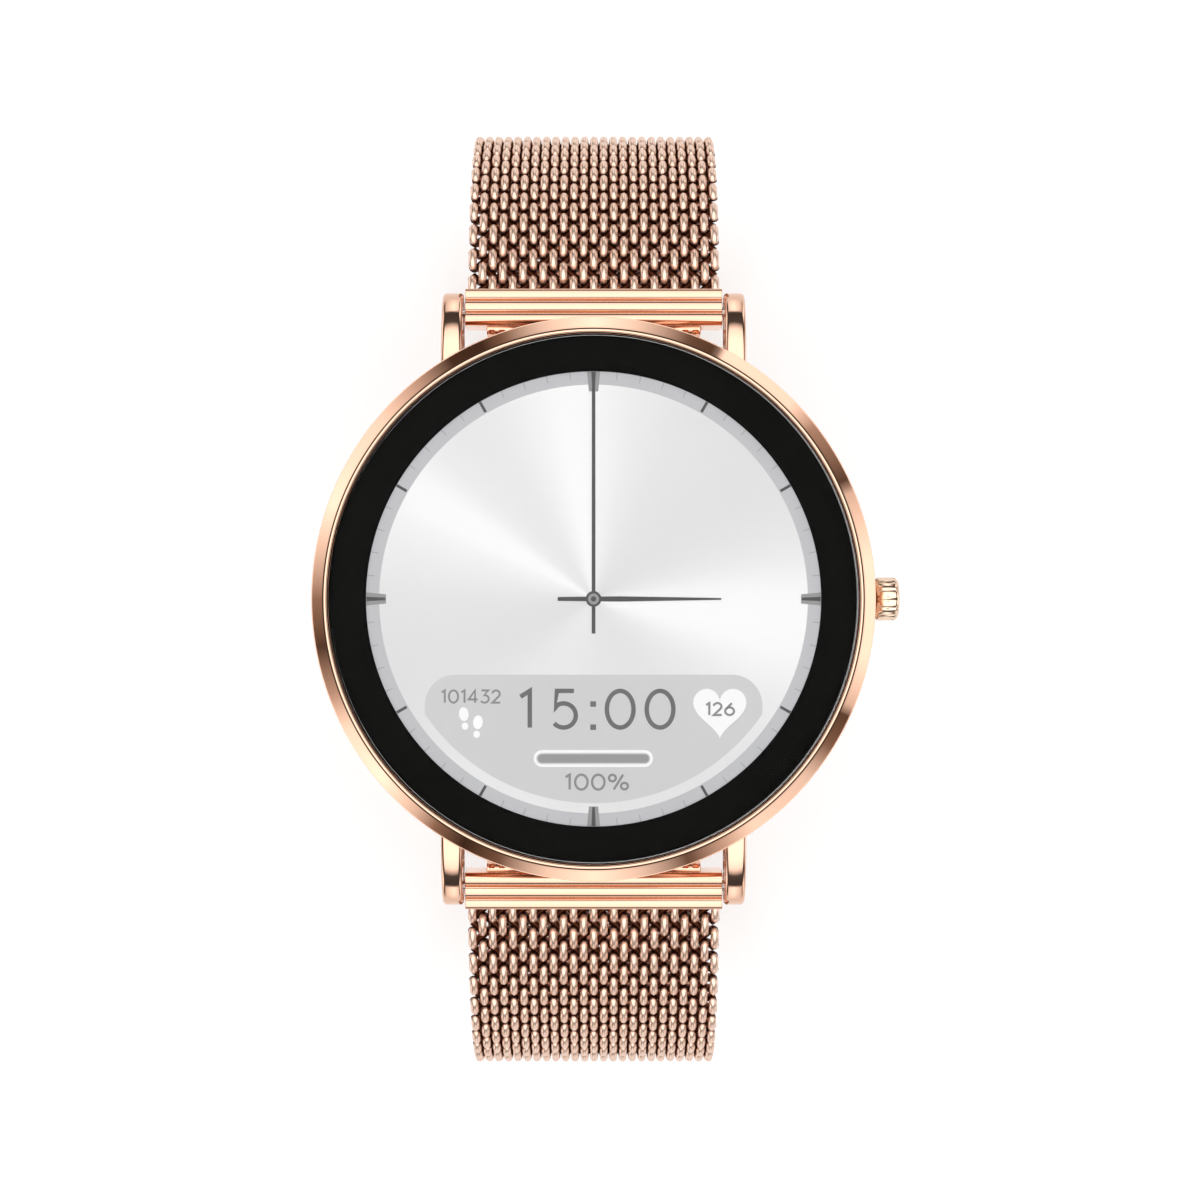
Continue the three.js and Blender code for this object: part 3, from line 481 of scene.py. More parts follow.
# polished rose gold plating on solid pieces
polished_plating = material(
    "rose_gold_polished",
    lambda tree: plating(tree, "#F3C6AC", "#EEC0A5", 0.09, 0.015, 4.0),
)
for label, side in (("12", 1), ("6", -1)):
    outline = [(-1.05, LINK_UNDER), (LINK_HALF - 0.3, LINK_UNDER), (LINK_HALF, LINK_UNDER + 0.3)]
    for u in (RIDGE_PITCH, 0, -RIDGE_PITCH):
        outline.append((u + RIDGE_HALF, GROOVE_FLOOR))
        outline += arc(u + RIDGE_HALF - 0.13, RIDGE_TOP - 0.17, 0.13, 0, 72, 5)
        outline += [(u + RIDGE_HALF * w, RIDGE_TOP - 0.035 * w * w) for w in (0.6, 0.3, 0, -0.3)]
        if u >= 0:
            outline.append((u - 0.6 * RIDGE_HALF, RIDGE_TOP - 0.0126))
            outline += arc(u - RIDGE_HALF + 0.13, RIDGE_TOP - 0.17, 0.13, 108, 180, 5)
            outline.append((u - RIDGE_HALF, GROOVE_FLOOR))
    # the ridge beside the case rolls over into the back of the link
    outline += arc(-0.95, RIDGE_TOP - 0.52, 0.5, 100, 190, 9)

    def on_link(u, v, w, side=side):
        t = math.radians(LINK_TILT)
        y = BAR_Y + u * math.cos(t) + v * math.sin(t)
        return (w, side * y, BAR_Z - u * math.sin(t) + v * math.cos(t))

    body = prism(outline, -LINK_WIDTH / 2, LINK_WIDTH / 2, 0.05, on_link)
    knuckle = [(-1.9, -0.6), (-1.65, -0.9), (0, -0.9), (0, 0.6), (-1.65, 0.6), (-1.9, 0.35)]
    parts = [body, prism(knuckle, -KNUCKLE_HALF, KNUCKLE_HALF, 0.08, on_link)]
    # the folded mesh shows as short wire ends along the knuckle
    for i in range(21):
        x = -7.9 + 15.8 * i / 20
        around = (0, 0.8, 1.6, 2.4, 3.14, 4.2, 5.2)
        bead = [(-1.78 + 0.2 * math.cos(a), 0.42 + 0.36 * math.sin(a)) for a in around]
        parts.append(prism(bead, x - 0.27, x + 0.27, 0.12, on_link))
    link = mesh_object("link_" + label, *joined(parts), polished_plating, 50)
    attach(link, f"strap_{label}_0")
    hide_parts("end_link_" + label)

# ---- case ---------------------------------------------------------------------------------------
# Stainless steel case turned from bar and plated rose gold: a round wall with a cove under the
# bezel, a boss for the crown tube, a floor ledge, and four lugs milled with a falling back.
CASE_RADIUS, FLARE_RADIUS, CAVITY_RADIUS = 20.0, 21.35, 18.6
DISPLAY_SEAT, FLOOR_LEDGE = 8.0, 3.1
CASE_BACK, SEAT = 1.0, 7.4
LUG_INSIDE, LUG_OUTSIDE = 10.1, 11.7
BOSS_BORE, BOSS_RADIUS, BOSS_START, BOSS_END = 1.25, 1.6, 19.2, 21.1
CROWN_Z = 4.6


def skin(pairs, steps):
    """Faces between pairs of rings. Where a ring is one point repeated, they are triangles."""
    faces = []
    for low, high in pairs:
        for i in range(steps):
            j = (i + 1) % steps
            face = []
            for corner in (low[i], low[j], high[j], high[i]):
                if corner not in face:
                    face.append(corner)
            if len(face) > 2:
                faces.append(tuple(face))
    return faces


def lathe(profile, steps, place=lambda x, y, z: (x, y, z)):
    """A closed profile of (radius, height) turned about the axis. Points on the axis are shared."""
    verts, rings = [], []
    for r, h in profile:
        if r < 1e-6:
            rings.append([len(verts)] * steps)
            verts.append(place(0, 0, h))
            continue
        rings.append(list(range(len(verts), len(verts) + steps)))
        for i in range(steps):
            a = 2 * math.pi * i / steps
            verts.append(place(r * math.cos(a), r * math.sin(a), h))
    pairs = list(zip(rings, rings[1:]))
    if profile[0][0] > 1e-6 or profile[-1][0] > 1e-6:
        pairs.append((rings[-1], rings[0]))
    return verts, skin(pairs, steps)


cove = [(CASE_RADIUS + 1.35 * (1 - u), SEAT - 3.0 * (1 - v)) for u, v in arc(0, 0, 1, 0, 80, 14)]
wall = [
    (14.2, 2.1),
    (17.9, 2.1),
    (17.9, CASE_BACK + 0.05),
    (17.95, CASE_BACK),
    (18.95, CASE_BACK),
    *arc(19.0, CASE_BACK + 1.0, 1.0, -90, 0, 10),
    *cove,
    (FLARE_RADIUS - 0.02, SEAT - 0.05),
    (FLARE_RADIUS, SEAT),
    (20.2, SEAT),
    (20.2, DISPLAY_SEAT),
    (CAVITY_RADIUS, DISPLAY_SEAT),
    (CAVITY_RADIUS, FLOOR_LEDGE),
    (14.2, FLOOR_LEDGE),
]
parts = [lathe(wall, 160)]
parts.append(
    lathe(
        [
            (BOSS_BORE, BOSS_START),
            (BOSS_RADIUS, BOSS_START),
            (BOSS_RADIUS, BOSS_END - 0.12),
            (BOSS_RADIUS - 0.12, BOSS_END),
            (BOSS_BORE, BOSS_END),
        ],
        40,
        lambda x, y, z: (z, y, CROWN_Z + x),
    )
)
back = [(18.2 + 5.6 * u, 3.0 + 4.0 * v) for u, v in arc(0, 0, 1, 0, 90, 26)]
lug = [(14.5, 1.5), *arc(22.3, 3.0, 1.5, -90, 0, 12)[:-1], *back, (14.5, 7.0)]
for sx in (1, -1):
    for sy in (1, -1):
        parts.append(
            prism(
                lug,
                LUG_INSIDE,
                LUG_OUTSIDE,
                0.3,
                lambda u, v, w, sx=sx, sy=sy: (sx * w, sy * u, v),
            )
        )
case = mesh_object("case", *joined(parts), polished_plating, 35)
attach(case, "head")
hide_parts("case_body")

# ---- bezel --------------------------------------------------------------------------------------
# A turned and polished ring, plated rose gold and pressed on the case. Its wide flank slopes away
# from the glass, and a thin rounded lip beside the glass catches the light.
BEZEL_IN, BEZEL_OUT = 20.2, 21.45
# rose gold plating on a surface turned with diamond to a mirror
mirror_plating = material(
    "rose_gold_mirror",
    lambda tree: plating(tree, "#F3C6AC", "#EFC1A6", 0.045, 0.01, 6.0),
)
flank = []
for i in range(9):
    t = i / 8
    flank.append((20.45 + 0.93 * t, 9.425 - 0.72 * t + 0.015 * math.sin(math.pi * t)))
bezel_profile = [
    (BEZEL_IN, 7.45),
    *arc(20.25, 9.41, 0.05, 180, 98, 4),
    (20.42, 9.438),
    *flank,
    *arc(21.33, 8.62, 0.12, 50, 0, 4),
    (BEZEL_OUT, 7.7),
    *arc(21.25, 7.65, 0.2, 0, -90, 4),
]
bezel = mesh_object("bezel", *lathe(bezel_profile, 240), mirror_plating, 35)
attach(bezel, "head")
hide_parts("bezel_ring")

# ---- cover glass and its tape -------------------------------------------------------------------
# Clear hardened glass with a ground, polished edge, bonded to the rim by a black ring of tape that
# makes the dial's black border.
GLASS_RADIUS, GLASS_LOW, GLASS_TOP = 20.1, 8.3, 9.5
GLASS_EDGE = 0.04  # radius of the polished edge
glass_look = material(
    "cover_glass",
    lambda tree: {
        "Base Color": linear("#FFFFFF"),
        "Transmission Weight": 1.0,
        "Roughness": 0.0,
        "IOR": 1.5,
        "Specular Tint": linear("#333333"),
    },
)
glass_profile = [
    (0, GLASS_LOW),
    (GLASS_RADIUS - 0.1, GLASS_LOW),
    (GLASS_RADIUS, GLASS_LOW + 0.1),
    (GLASS_RADIUS, GLASS_TOP - GLASS_EDGE),
    *arc(GLASS_RADIUS - GLASS_EDGE, GLASS_TOP - GLASS_EDGE, GLASS_EDGE, 15, 90, 5),
    (0, GLASS_TOP),
]
glass = mesh_object("glass", *lathe(glass_profile, 160), glass_look, 40)
glass.visible_shadow = False
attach(glass, "head")
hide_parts("cover_glass")


def coat(tree, colour, rough, bump_mm, grain_mm):
    """Plain coloured plastic, film or board with a fine grain in its gloss."""
    place = node(tree, "ShaderNodeTexCoord").outputs["Object"]
    noise = node(
        tree, "ShaderNodeTexNoise", {"Vector": place, "Scale": 1 / (grain_mm * MM), "Detail": 2.0}
    ).outputs["Fac"]
    gloss = node(
        tree, "ShaderNodeMapRange", {0: noise, 3: rough * 0.9, 4: min(1.0, rough * 1.1)}
    ).outputs[0]
    made = {"Base Color": linear(colour), "Roughness": gloss}
    if bump_mm:
        made["Normal"] = node(
            tree, "ShaderNodeBump", {"Height": noise, "Distance": bump_mm * MM, "Strength": 0.6}
        ).outputs[0]
    return made


# black acrylic foam tape
tape_look = material(
    "black_tape", lambda tree: {**coat(tree, "#141413", 0.8, 0, 2.0), "Specular IOR Level": 0.0}
)


def dressed(names, look):
    """CAD pieces shown as they are, with a material."""
    for name in names:
        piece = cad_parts[name]
        piece.data.materials.clear()
        piece.data.materials.append(look)


tape = mesh_object(
    "tape", *lathe([(17.3, 8.06), (20.12, 8.06), (20.12, 8.24), (17.3, 8.24)], 160), tape_look, 40
)
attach(tape, "head")
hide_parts("glass_tape")

# ---- display ------------------------------------------------------------------------------------
# A lit round panel that shows a silver sunray watch face: a minute ring, hour marks, two hands and
# a grey panel with the time, a step count, a pulse reading and a charge bar. Each layer of the
# picture is a thin film, so that it keeps its edge at any size.
LIT = 17.4
# heights of the layers, and how thick each is
FACE, RING, MARK, GAP, INSET, HAND = 8.004, 8.02, 8.036, 8.05, 8.052, 8.068
STEP, FILM = 0.016, 0.012


def lit(colour):
    """A lit part of the display: most of its brightness glows and the rest is seen by daylight."""
    full = linear(colour)
    by_day = 0.36
    return {
        "Base Color": [c * by_day for c in full[:3]] + [1.0],
        "Emission Color": full,
        "Emission Strength": 0.6,
        "Roughness": 0.6,
        "Specular IOR Level": 0.05,
    }


def sunray(tree):
    """Brushed silver seen on a screen: soft light and grey sectors about the middle."""
    place = node(tree, "ShaderNodeTexCoord").outputs["Object"]
    spot = node(tree, "ShaderNodeSeparateXYZ", {0: place})
    angle = node(
        tree, "ShaderNodeMath", {0: spot.outputs[0], 1: spot.outputs[1]}, operation="ARCTAN2"
    ).outputs[0]
    share = node(tree, "ShaderNodeMapRange", {0: angle, 1: -math.pi, 2: math.pi}).outputs[0]
    ramp = node(tree, "ShaderNodeValToRGB", {0: share})
    ramp.color_ramp.interpolation = "B_SPLINE"
    # degrees clockwise from 12 o'clock, and grey value
    stops = [(-180, "#F0F0F0"), (-145, "#F3F3F3"), (-120, "#EBEBEB"), (-90, "#EDEDED")]
    stops += [(-68, "#F8F8F8"), (-58, "#FFFFFF"), (-48, "#F2F2F2"), (-30, "#EFEFEF")]
    stops += [(-14, "#FAFAFA"), (-4, "#FDFDFD"), (14, "#F1F1F1"), (35, "#EDEDED"), (60, "#ECECEC")]
    stops += [(76, "#F1F1F1"), (88, "#FCFCFC"), (104, "#FDFDFD"), (122, "#F1F1F1")]
    stops += [(150, "#EDEDED"), (180, "#F0F0F0")]
    filled(ramp, [((degrees + 180) / 360, linear(colour)) for degrees, colour in stops])
    # more contrast than the greys have, to stand out through the glow
    contrast, dark = 1.55, (1.03, 1.03, 1.03)
    strong = node(tree, "ShaderNodeVectorMath", {0: ramp, "Scale": contrast}, operation="SCALE")
    made = lit("#E4E4E4")
    made["Emission Strength"] = 0.63
    made["Base Color"] = node(
        tree, "ShaderNodeVectorMath", {0: strong, 1: dark}, operation="SUBTRACT"
    )
    return made


def film(name, outlines, low, look):
    """Flat shapes, each a closed outline in mm, as thin solid films on the display."""
    parts = []
    for outline in outlines:
        n = len(outline)
        verts = [(x, y, low) for x, y in outline] + [(x, y, low + FILM) for x, y in outline]
        faces = [tuple(range(n))[::-1], tuple(range(n, 2 * n))]
        faces += [(i, (i + 1) % n, n + (i + 1) % n, n + i) for i in range(n)]
        parts.append((verts, faces))
    made = mesh_object(name, *joined(parts), look, 30)
    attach(made, "head")
    return made


def round_shape(cx, cy, radius, steps=24):
    return arc(cx, cy, radius, 0, 360 - 360 / steps, steps - 1)


def bar_at(angle, inner, outer, w_in, w_out):
    """A tapered bar that points out from the dial's middle, angle clockwise from 12."""
    a = math.radians(angle)
    out, across = (math.sin(a), math.cos(a)), (math.cos(a), -math.sin(a))
    made = []
    for r, w in ((inner, -w_in), (outer, -w_out), (outer, w_out), (inner, w_in)):
        made.append((out[0] * r + across[0] * w / 2, out[1] * r + across[1] * w / 2))
    return made


def stroke(points, width):
    """A line of points as a flat ribbon with square ends and mitred corners. A closed line starts
    and ends on the same point."""
    closed = points[0] == points[-1]
    p = [Vector(q) for q in (points[:-1] if closed else points)]
    n = len(p)
    sides = ([], [])
    for i in range(n):
        before = p[i] - p[i - 1] if (closed or i > 0) else p[1] - p[0]
        after = p[(i + 1) % n] - p[i] if (closed or i < n - 1) else p[-1] - p[-2]
        a, b = before.normalized(), after.normalized()
        na, nb = Vector((-a.y, a.x)), Vector((-b.y, b.x))
        mid = na + nb
        reach = width / max(0.5, mid.length_squared)
        sides[0].append(tuple(p[i] + mid * reach))
        sides[1].append(tuple(p[i] - mid * reach))
    quads = []
    for i in range(n if closed else n - 1):
        j = (i + 1) % n
        quads.append([sides[0][i], sides[0][j], sides[1][j], sides[1][i]])
    return quads


def oval(cx, cy, rx, ry, start, end, steps=20):
    angles = [math.radians(start + (end - start) * i / steps) for i in range(steps + 1)]
    return [(cx + rx * math.cos(a), cy + ry * math.sin(a)) for a in angles]


# numerals drawn as strokes in a box one unit high: each is a width and a list of lines
loop = oval(0.36, 0.5, 0.36, 0.5, 90, 450, 36)
ring_low = oval(0.33, 0.32, 0.33, 0.32, 90, 450, 30)
spot_a = oval(0.2, 0.77, 0.2, 0.22, 90, 450, 20)
spot_b = oval(0.9, 0.23, 0.2, 0.22, 90, 450, 20)
for line in (loop, ring_low, spot_a, spot_b):
    line[-1] = line[0]
NUMERALS = {
    "0": (0.72, [loop]),
    "1": (0.3, [[(0.0, 0.84), (0.24, 1.0), (0.24, 0.0)]]),
    "2": (0.62, [oval(0.3, 0.71, 0.29, 0.29, 170, -35, 16) + [(0.02, 0.0), (0.62, 0.0)]]),
    "3": (
        0.62,
        [[(0.04, 1.0), (0.58, 1.0), (0.26, 0.6)] + oval(0.28, 0.31, 0.33, 0.31, 85, -145, 18)],
    ),
    "4": (0.7, [[(0.5, 0.0), (0.5, 1.0), (0.0, 0.26), (0.7, 0.26)]]),
    "5": (
        0.64,
        [[(0.58, 1.0), (0.12, 1.0), (0.07, 0.5)] + oval(0.3, 0.33, 0.33, 0.33, 118, -140, 20)],
    ),
    "6": (0.66, [ring_low, [(0.5, 1.0), (0.08, 0.5)]]),
    "%": (1.1, [spot_a, spot_b, [(0.82, 1.0), (0.28, 0.0)]]),
}


def written(text, left, right, low, high, width):
    """Numerals set between two sides and two heights, as outlines."""
    gap = 0.26
    natural = sum(NUMERALS[c][0] for c in text) + gap * (len(text) - 1)
    size, sx = high - low - width, (right - left - width) / natural
    x, shapes = left + width / 2, []
    for c in text:
        wide, lines = NUMERALS[c]
        for line in lines:
            placed = [(x + u * sx, low + width / 2 + v * size) for u, v in line]
            shapes += stroke(placed, width)
        x += (wide + gap) * sx
    return shapes


face_look = material("display_sunray", sunray)
film("dial_face", [round_shape(0, 0, LIT, 160)], FACE, face_look)


def shade(name, colour):
    """A plain shade of the picture on the display."""
    return material("display_" + name, lambda tree: lit(colour))


ring_look = shade("light_grey", "#C9C9CC")
mark_look = shade("dark_grey", "#5E5E5E")
faint_look = shade("faint_grey", "#ABABAF")
panel_look = shade("panel_grey", "#D6D6D6")
white_look = shade("white", "#FFFFFF")
bar_look = shade("mid_grey", "#9E9E9E")
numeral_look = shade("numeral_grey", "#757575")
small_look = shade("small_grey", "#929292")

ring_profile = [(16.3, RING), (LIT, RING), (LIT, RING + FILM), (16.3, RING + FILM)]
ring = mesh_object("minute_ring", *lathe(ring_profile, 160), ring_look, 30)
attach(ring, "head")
minutes = [bar_at(6 * i, 16.75, 17.3, 0.07, 0.07) for i in range(60) if i % 5]
film("minute_marks", minutes, MARK, faint_look)
hours = [bar_at(30 * i, 16.4, 17.28, 0.22, 0.22) for i in range(12) if i % 3]
quarters = [bar_at(90 * i, 15.78, 17.28, 0.7, 1.0) for i in range(4)]
film("hour_marks", hours, MARK, mark_look)
film("quarter_marks", quarters, MARK, bar_look)
stripes = [bar_at(90 * i, 15.82, 17.28, 0.2, 0.34) for i in range(4)]
film("quarter_stripes", stripes, INSET, mark_look)

# info panel: flat top with round corners, and a foot that follows the dial
PANEL_TOP, PANEL_HALF, PANEL_FOOT, CORNER = -5.76, 12.83, 15.53, 2.3
foot_angle = math.degrees(math.acos(PANEL_HALF / PANEL_FOOT))
panel_shape = arc(PANEL_HALF - CORNER, PANEL_TOP - CORNER, CORNER, 0, 90, 12)
panel_shape += arc(-PANEL_HALF + CORNER, PANEL_TOP - CORNER, CORNER, 90, 180, 12)
panel_shape += arc(0, 0, PANEL_FOOT, 180 + foot_angle, 360 - foot_angle, 60)
film("info_panel", [panel_shape], RING, panel_look)
clock = written("1", -5.73, -4.5, -9.95, -6.82, 0.34)
clock += written("5", -3.3, -1.15, -9.95, -6.82, 0.34)
clock += written("0", 0.84, 3.21, -9.95, -6.82, 0.34)
clock += written("0", 3.87, 6.24, -9.95, -6.82, 0.34)
for y in (-7.99, -9.75):
    clock.append([(-0.25, y - 0.21), (0.19, y - 0.21), (0.19, y + 0.21), (-0.25, y + 0.21)])
film("clock_numerals", clock, MARK, numeral_look)
small = written("101432", -11.62, -7.03, -7.96, -6.88, 0.15)
small += written("100%", -2.22, 2.7, -14.58, -13.27, 0.18)
film("small_numerals", small, MARK, small_look)


def pill(cx, cy, half, radius):
    return arc(cx + half - radius, cy, radius, -90, 90, 10) + arc(
        cx - half + radius, cy, radius, 90, 270, 10
    )


film("charge_rim", [pill(-0.02, -12.13, 4.54, 0.65)], MARK, white_look)
film("charge_gap", [pill(-0.02, -12.13, 4.34, 0.44)], GAP, panel_look)
film("charge_bar", [pill(-0.02, -12.13, 4.24, 0.33)], HAND - 0.004, bar_look)
heart = []
for i in range(48):
    t = 2 * math.pi * i / 48
    x = 16 * math.sin(t) ** 3
    y = 13 * math.cos(t) - 5 * math.cos(2 * t) - 2 * math.cos(3 * t) - math.cos(4 * t)
    heart.append((9.6 + x * 0.1265, -8.4 + y * 0.132))
film("heart", [heart], MARK, white_look)
film("pulse_numerals", written("126", 8.47, 10.76, -8.91, -7.83, 0.17), INSET, small_look)


def sole(cx, cy, lean, size):
    """One footprint: a ball, a waist and a heel."""
    shapes = []
    for u, v, rx, ry in ((0, 0.3, 0.32, 0.46), (0, -0.5, 0.22, 0.24)):
        shape = []
        for i in range(18):
            a = 2 * math.pi * i / 18
            p, q = u + rx * math.cos(a), v + ry * math.sin(a)
            x = cx + size * (p * math.cos(lean) - q * math.sin(lean))
            y = cy + size * (p * math.sin(lean) + q * math.cos(lean))
            shape.append((x, y))
        shapes.append(shape)
    return shapes


soles = sole(-9.83, -9.1, 0.1, 1.15) + sole(-8.83, -9.72, -0.1, 1.15)
film("footprints", soles, MARK, white_look)
hands = [
    [(-0.14, -2.63), (0.14, -2.63), (0.13, 16.0), (0.0, 16.4), (-0.13, 16.0)],
    [(-2.73, -0.15), (2.0, -0.2), (9.71, -0.07), (9.71, 0.07), (2.0, 0.2), (-2.73, 0.15)],
]
film("hands", hands[:1], HAND, mark_look)
film("hour_hand", hands[1:], HAND + STEP, mark_look)
film("hand_hub", [round_shape(0, 0, 0.6)], HAND + 2 * STEP, mark_look)
film("hub_ring", [round_shape(0, 0, 0.42)], HAND + 3 * STEP, bar_look)
film("hub_dot", [round_shape(0, 0, 0.2)], HAND + 4 * STEP, mark_look)
dressed(["display_panel"], tape_look)

# ---- back ---------------------------------------------------------------------------------------
# The wrist side: a brushed steel cover held by four small cross-slotted screws, a domed dark window
# over the optical sensor and two gold-plated contacts for the charger.
brushed_plating = material(
    "rose_gold_brushed",
    lambda tree: plating(tree, "#EDBB9E", "#DFA789", 0.28, 0.06, 0.5, (0.12, 1, 1)),
)
window_look = material("dark_window", lambda tree: coat(tree, "#08080A", 0.08, 0, 1.0))
screw_look = material(
    "turned_steel", lambda tree: plating(tree, "#C9C9C9", "#B5B5B5", 0.3, 0.05, 0.4)
)
contact_look = material(
    "gold_contact", lambda tree: plating(tree, "#E7C36B", "#D9B25C", 0.25, 0.04, 0.5)
)


def softened(cad_name, name, look, width, body, angle=38):
    """A CAD piece remade for looks: facets joined, edges rounded by width, round faces smooth."""
    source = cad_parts[cad_name]
    mesh = source.data.copy()
    mesh.transform(source.matrix_world)
    work = bmesh.new()
    work.from_mesh(mesh)
    bmesh.ops.remove_doubles(work, verts=work.verts, dist=0.002 * MM)
    bmesh.ops.dissolve_limit(work, angle_limit=math.radians(1), verts=work.verts, edges=work.edges)
    least = math.radians(angle)
    sharp = [e for e in work.edges if len(e.link_faces) == 2 and e.calc_face_angle(0) > least]
    if width:
        bmesh.ops.bevel(
            work,
            geom=sharp,
            offset=width * MM,
            offset_type="OFFSET",
            segments=2,
            profile=0.5,
            affect="EDGES",
            clamp_overlap=True,
        )
    work.to_mesh(mesh)
    work.free()
    made = piece(name, mesh, look, 30)
    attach(made, body)
    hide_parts(cad_name)
    return made


softened("back_cover", "back_plate", brushed_plating, 0.05, "head")
window_profile = [(0, 0.0), (4.2, 0.0), *arc(4.2, 1.2, 1.2, -90, -65, 4)[1:], (6.2, 0.5)]
window_profile += [(6.4, 0.75), (6.4, 1.75), (7.6, 1.75), (7.6, 2.2), (0, 2.2)]
window = mesh_object("sensor_lens", *lathe(window_profile, 96), window_look, 25)
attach(window, "head")
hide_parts("sensor_window")
for i in "1234":
    softened("case_screw_" + i, "back_screw_" + i, screw_look, 0.03, "head")
for i in ("1", "2"):
    softened("charge_pin_" + i, "charge_pad_" + i, contact_look, 0.06, "head")

# ---- crown --------------------------------------------------------------------------------------
# A turned rose gold crown with fourteen rounded flutes, a chamfered edge and a slightly domed end,
# on a steel stem that runs in a pressed tube.
FLUTES, FLUTE_DEPTH, CROWN_START = 14, 0.12, 21.7
STEM_HOLE, STEM_DEPTH = 0.62, 0.9
steps = FLUTES * 10
# from the case outwards: distance, radius, and how much of the flutes shows
sections = [(0.0, STEM_HOLE, 0.0), (0.0, 1.42, 0.0), (0.06, 1.52, 0.3), (0.2, 1.66, 1.0)]
sections += [(1.5, 1.66, 1.0), (1.62, 1.6, 0.8), (1.72, 1.5, 0.3), (1.8, 1.38, 0.0)]
sections += [(1.83, 1.2, 0.0), (1.9, 0.7, 0.0), (1.945, 0.0, 0.0)]
verts, rings = [], []
for w, r, share in sections:
    if r == 0:
        rings.append([len(verts)] * steps)
        verts.append((CROWN_START + w, 0, CROWN_Z))
        continue
    rings.append(list(range(len(verts), len(verts) + steps)))
    for i in range(steps):
        a = 2 * math.pi * i / steps
        wave = abs(math.sin(FLUTES * a / 2)) ** 0.6
        reach = min(r, r - share * FLUTE_DEPTH * (1 - wave) + share * 0.03)
        verts.append((CROWN_START + w, reach * math.sin(a), CROWN_Z + reach * math.cos(a)))
rings.append(list(range(len(verts), len(verts) + steps)))
for i in range(steps):
    a = 2 * math.pi * i / steps
    y, z = STEM_HOLE * math.sin(a), STEM_HOLE * math.cos(a)
    verts.append((CROWN_START + STEM_DEPTH, y, CROWN_Z + z))
rings.append([len(verts)] * steps)
verts.append((CROWN_START + STEM_DEPTH, 0, CROWN_Z))
bore, outside = [rings[-1], rings[-2], rings[0]], rings[:-2]
pairs = [*zip(bore, bore[1:]), *zip(outside, outside[1:])]
# paler plating than the case: a painted highlight that keeps the turned crown and its flutes bright
crown_plating_painted_highlight = material(
    "crown_plating_painted_highlight", lambda tree: plating(tree, "#F8DEC6", "#F0D0B4", 0.12, 0.03, 2.0)
)
crown = mesh_object("crown_knob", verts, skin(pairs, steps), crown_plating_painted_highlight, 50)
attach(crown, "crown")
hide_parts("crown_cap")
dressed(["crown_stem", "crown_tube", "stem_clip", "switch_plunger"], screw_look)

# ---- spring bars --------------------------------------------------------------------------------
# Turned steel tubes with a fixed tip at one end and a sprung tip with a small knob at the other,
# which draws the tip out of its lug.
for label in ("12", "6"):
    dressed(["bar_tube_" + label, "bar_tip_" + label], screw_look)
    pin, knob, mover = "release_pin_" + label, "release_knob_" + label, "release_" + label
    softened(pin, knob, screw_look, 0.03, mover)

# ---- clasp --------------------------------------------------------------------------------------
# Pressed and plated steel: a sleeve that slides on one half of the mesh, a folding cover on a pin,
# a lever that locks the sleeve where it is, and a clamp with a crossbar on the other half.
softened("clasp_base", "clasp_sleeve", brushed_plating, 0.08, "clasp")
softened("clasp_cover", "clasp_lid", polished_plating, 0.15, "cover")
softened("lock_lever", "clasp_lever", brushed_plating, 0.08, "lever")
softened("end_clamp", "clamp", polished_plating, 0.12, "strap_12_5")
softened("tail_cap", "tail_fold", polished_plating, 0.1, "strap_6_5")
dressed(["crossbar", "cover_pin", "lever_pin"], screw_look)

# ---- inside the case ----------------------------------------------------------------------------
# Sealed parts that show only when the case is opened: boards, battery, motor, switch and frame.
board_look = material("solder_mask", lambda tree: coat(tree, "#1D5A36", 0.45, 0.01, 0.8))
black_look = material("black_plastic", lambda tree: coat(tree, "#161616", 0.55, 0.01, 0.3))
rubber_look = material("seal_rubber", lambda tree: coat(tree, "#1B1B1B", 0.8, 0.01, 0.2))
foil_look = material(
    "cell_foil", lambda tree: plating(tree, "#C3C6CA", "#A9ACB0", 0.4, 0.06, 2.0)
)
flex_look = material("amber_film", lambda tree: coat(tree, "#B87A2D", 0.35, 0, 0.5))
dressed(["main_board", "sensor_board"], board_look)
dressed(["inner_frame", "push_switch", "sensor_chip"], black_look)
dressed(["back_gasket", "crown_seal"], rubber_look)
dressed(["battery_cell"], foil_look)
dressed(["display_flex"], flex_look)
dressed(["display_bracket", "vibration_motor"], screw_look)

# ---- studio -------------------------------------------------------------------------------------
# A pale floor under the clasp, a wide soft light overhead, and a low ring of lights and dark
# flags round the watch that the bezel's flank mirrors.
FLOOR_Z, FLOOR_REACH = -45.8, 1500


def pale_board(tree):
    """A matt white board that is clear from behind, so the clasp can be looked at from below."""
    behind = node(tree, "ShaderNodeNewGeometry").outputs["Backfacing"]
    return {
        "Base Color": linear("#FAFAFA"),
        "Roughness": 0.9,
        "Emission Color": linear("#FFFFFF"),
        "Emission Strength": 0.25,
        "Alpha": node(tree, "ShaderNodeMath", {0: 1.0, 1: behind}, operation="SUBTRACT"),
    }


corners = [
    (x * FLOOR_REACH, y * FLOOR_REACH, FLOOR_Z) for x, y in ((-1, -1), (1, -1), (1, 1), (-1, 1))
]
floor = mesh_object("floor", corners, [(0, 1, 2, 3)], material("pale_floor", pale_board))
# polished metal mirrors the world below, not the floor
floor.visible_glossy = False
world = bpy.data.worlds.new("studio")
bpy.context.scene.world = world
world.use_nodes = True
sky = world.node_tree
sky.nodes.clear()


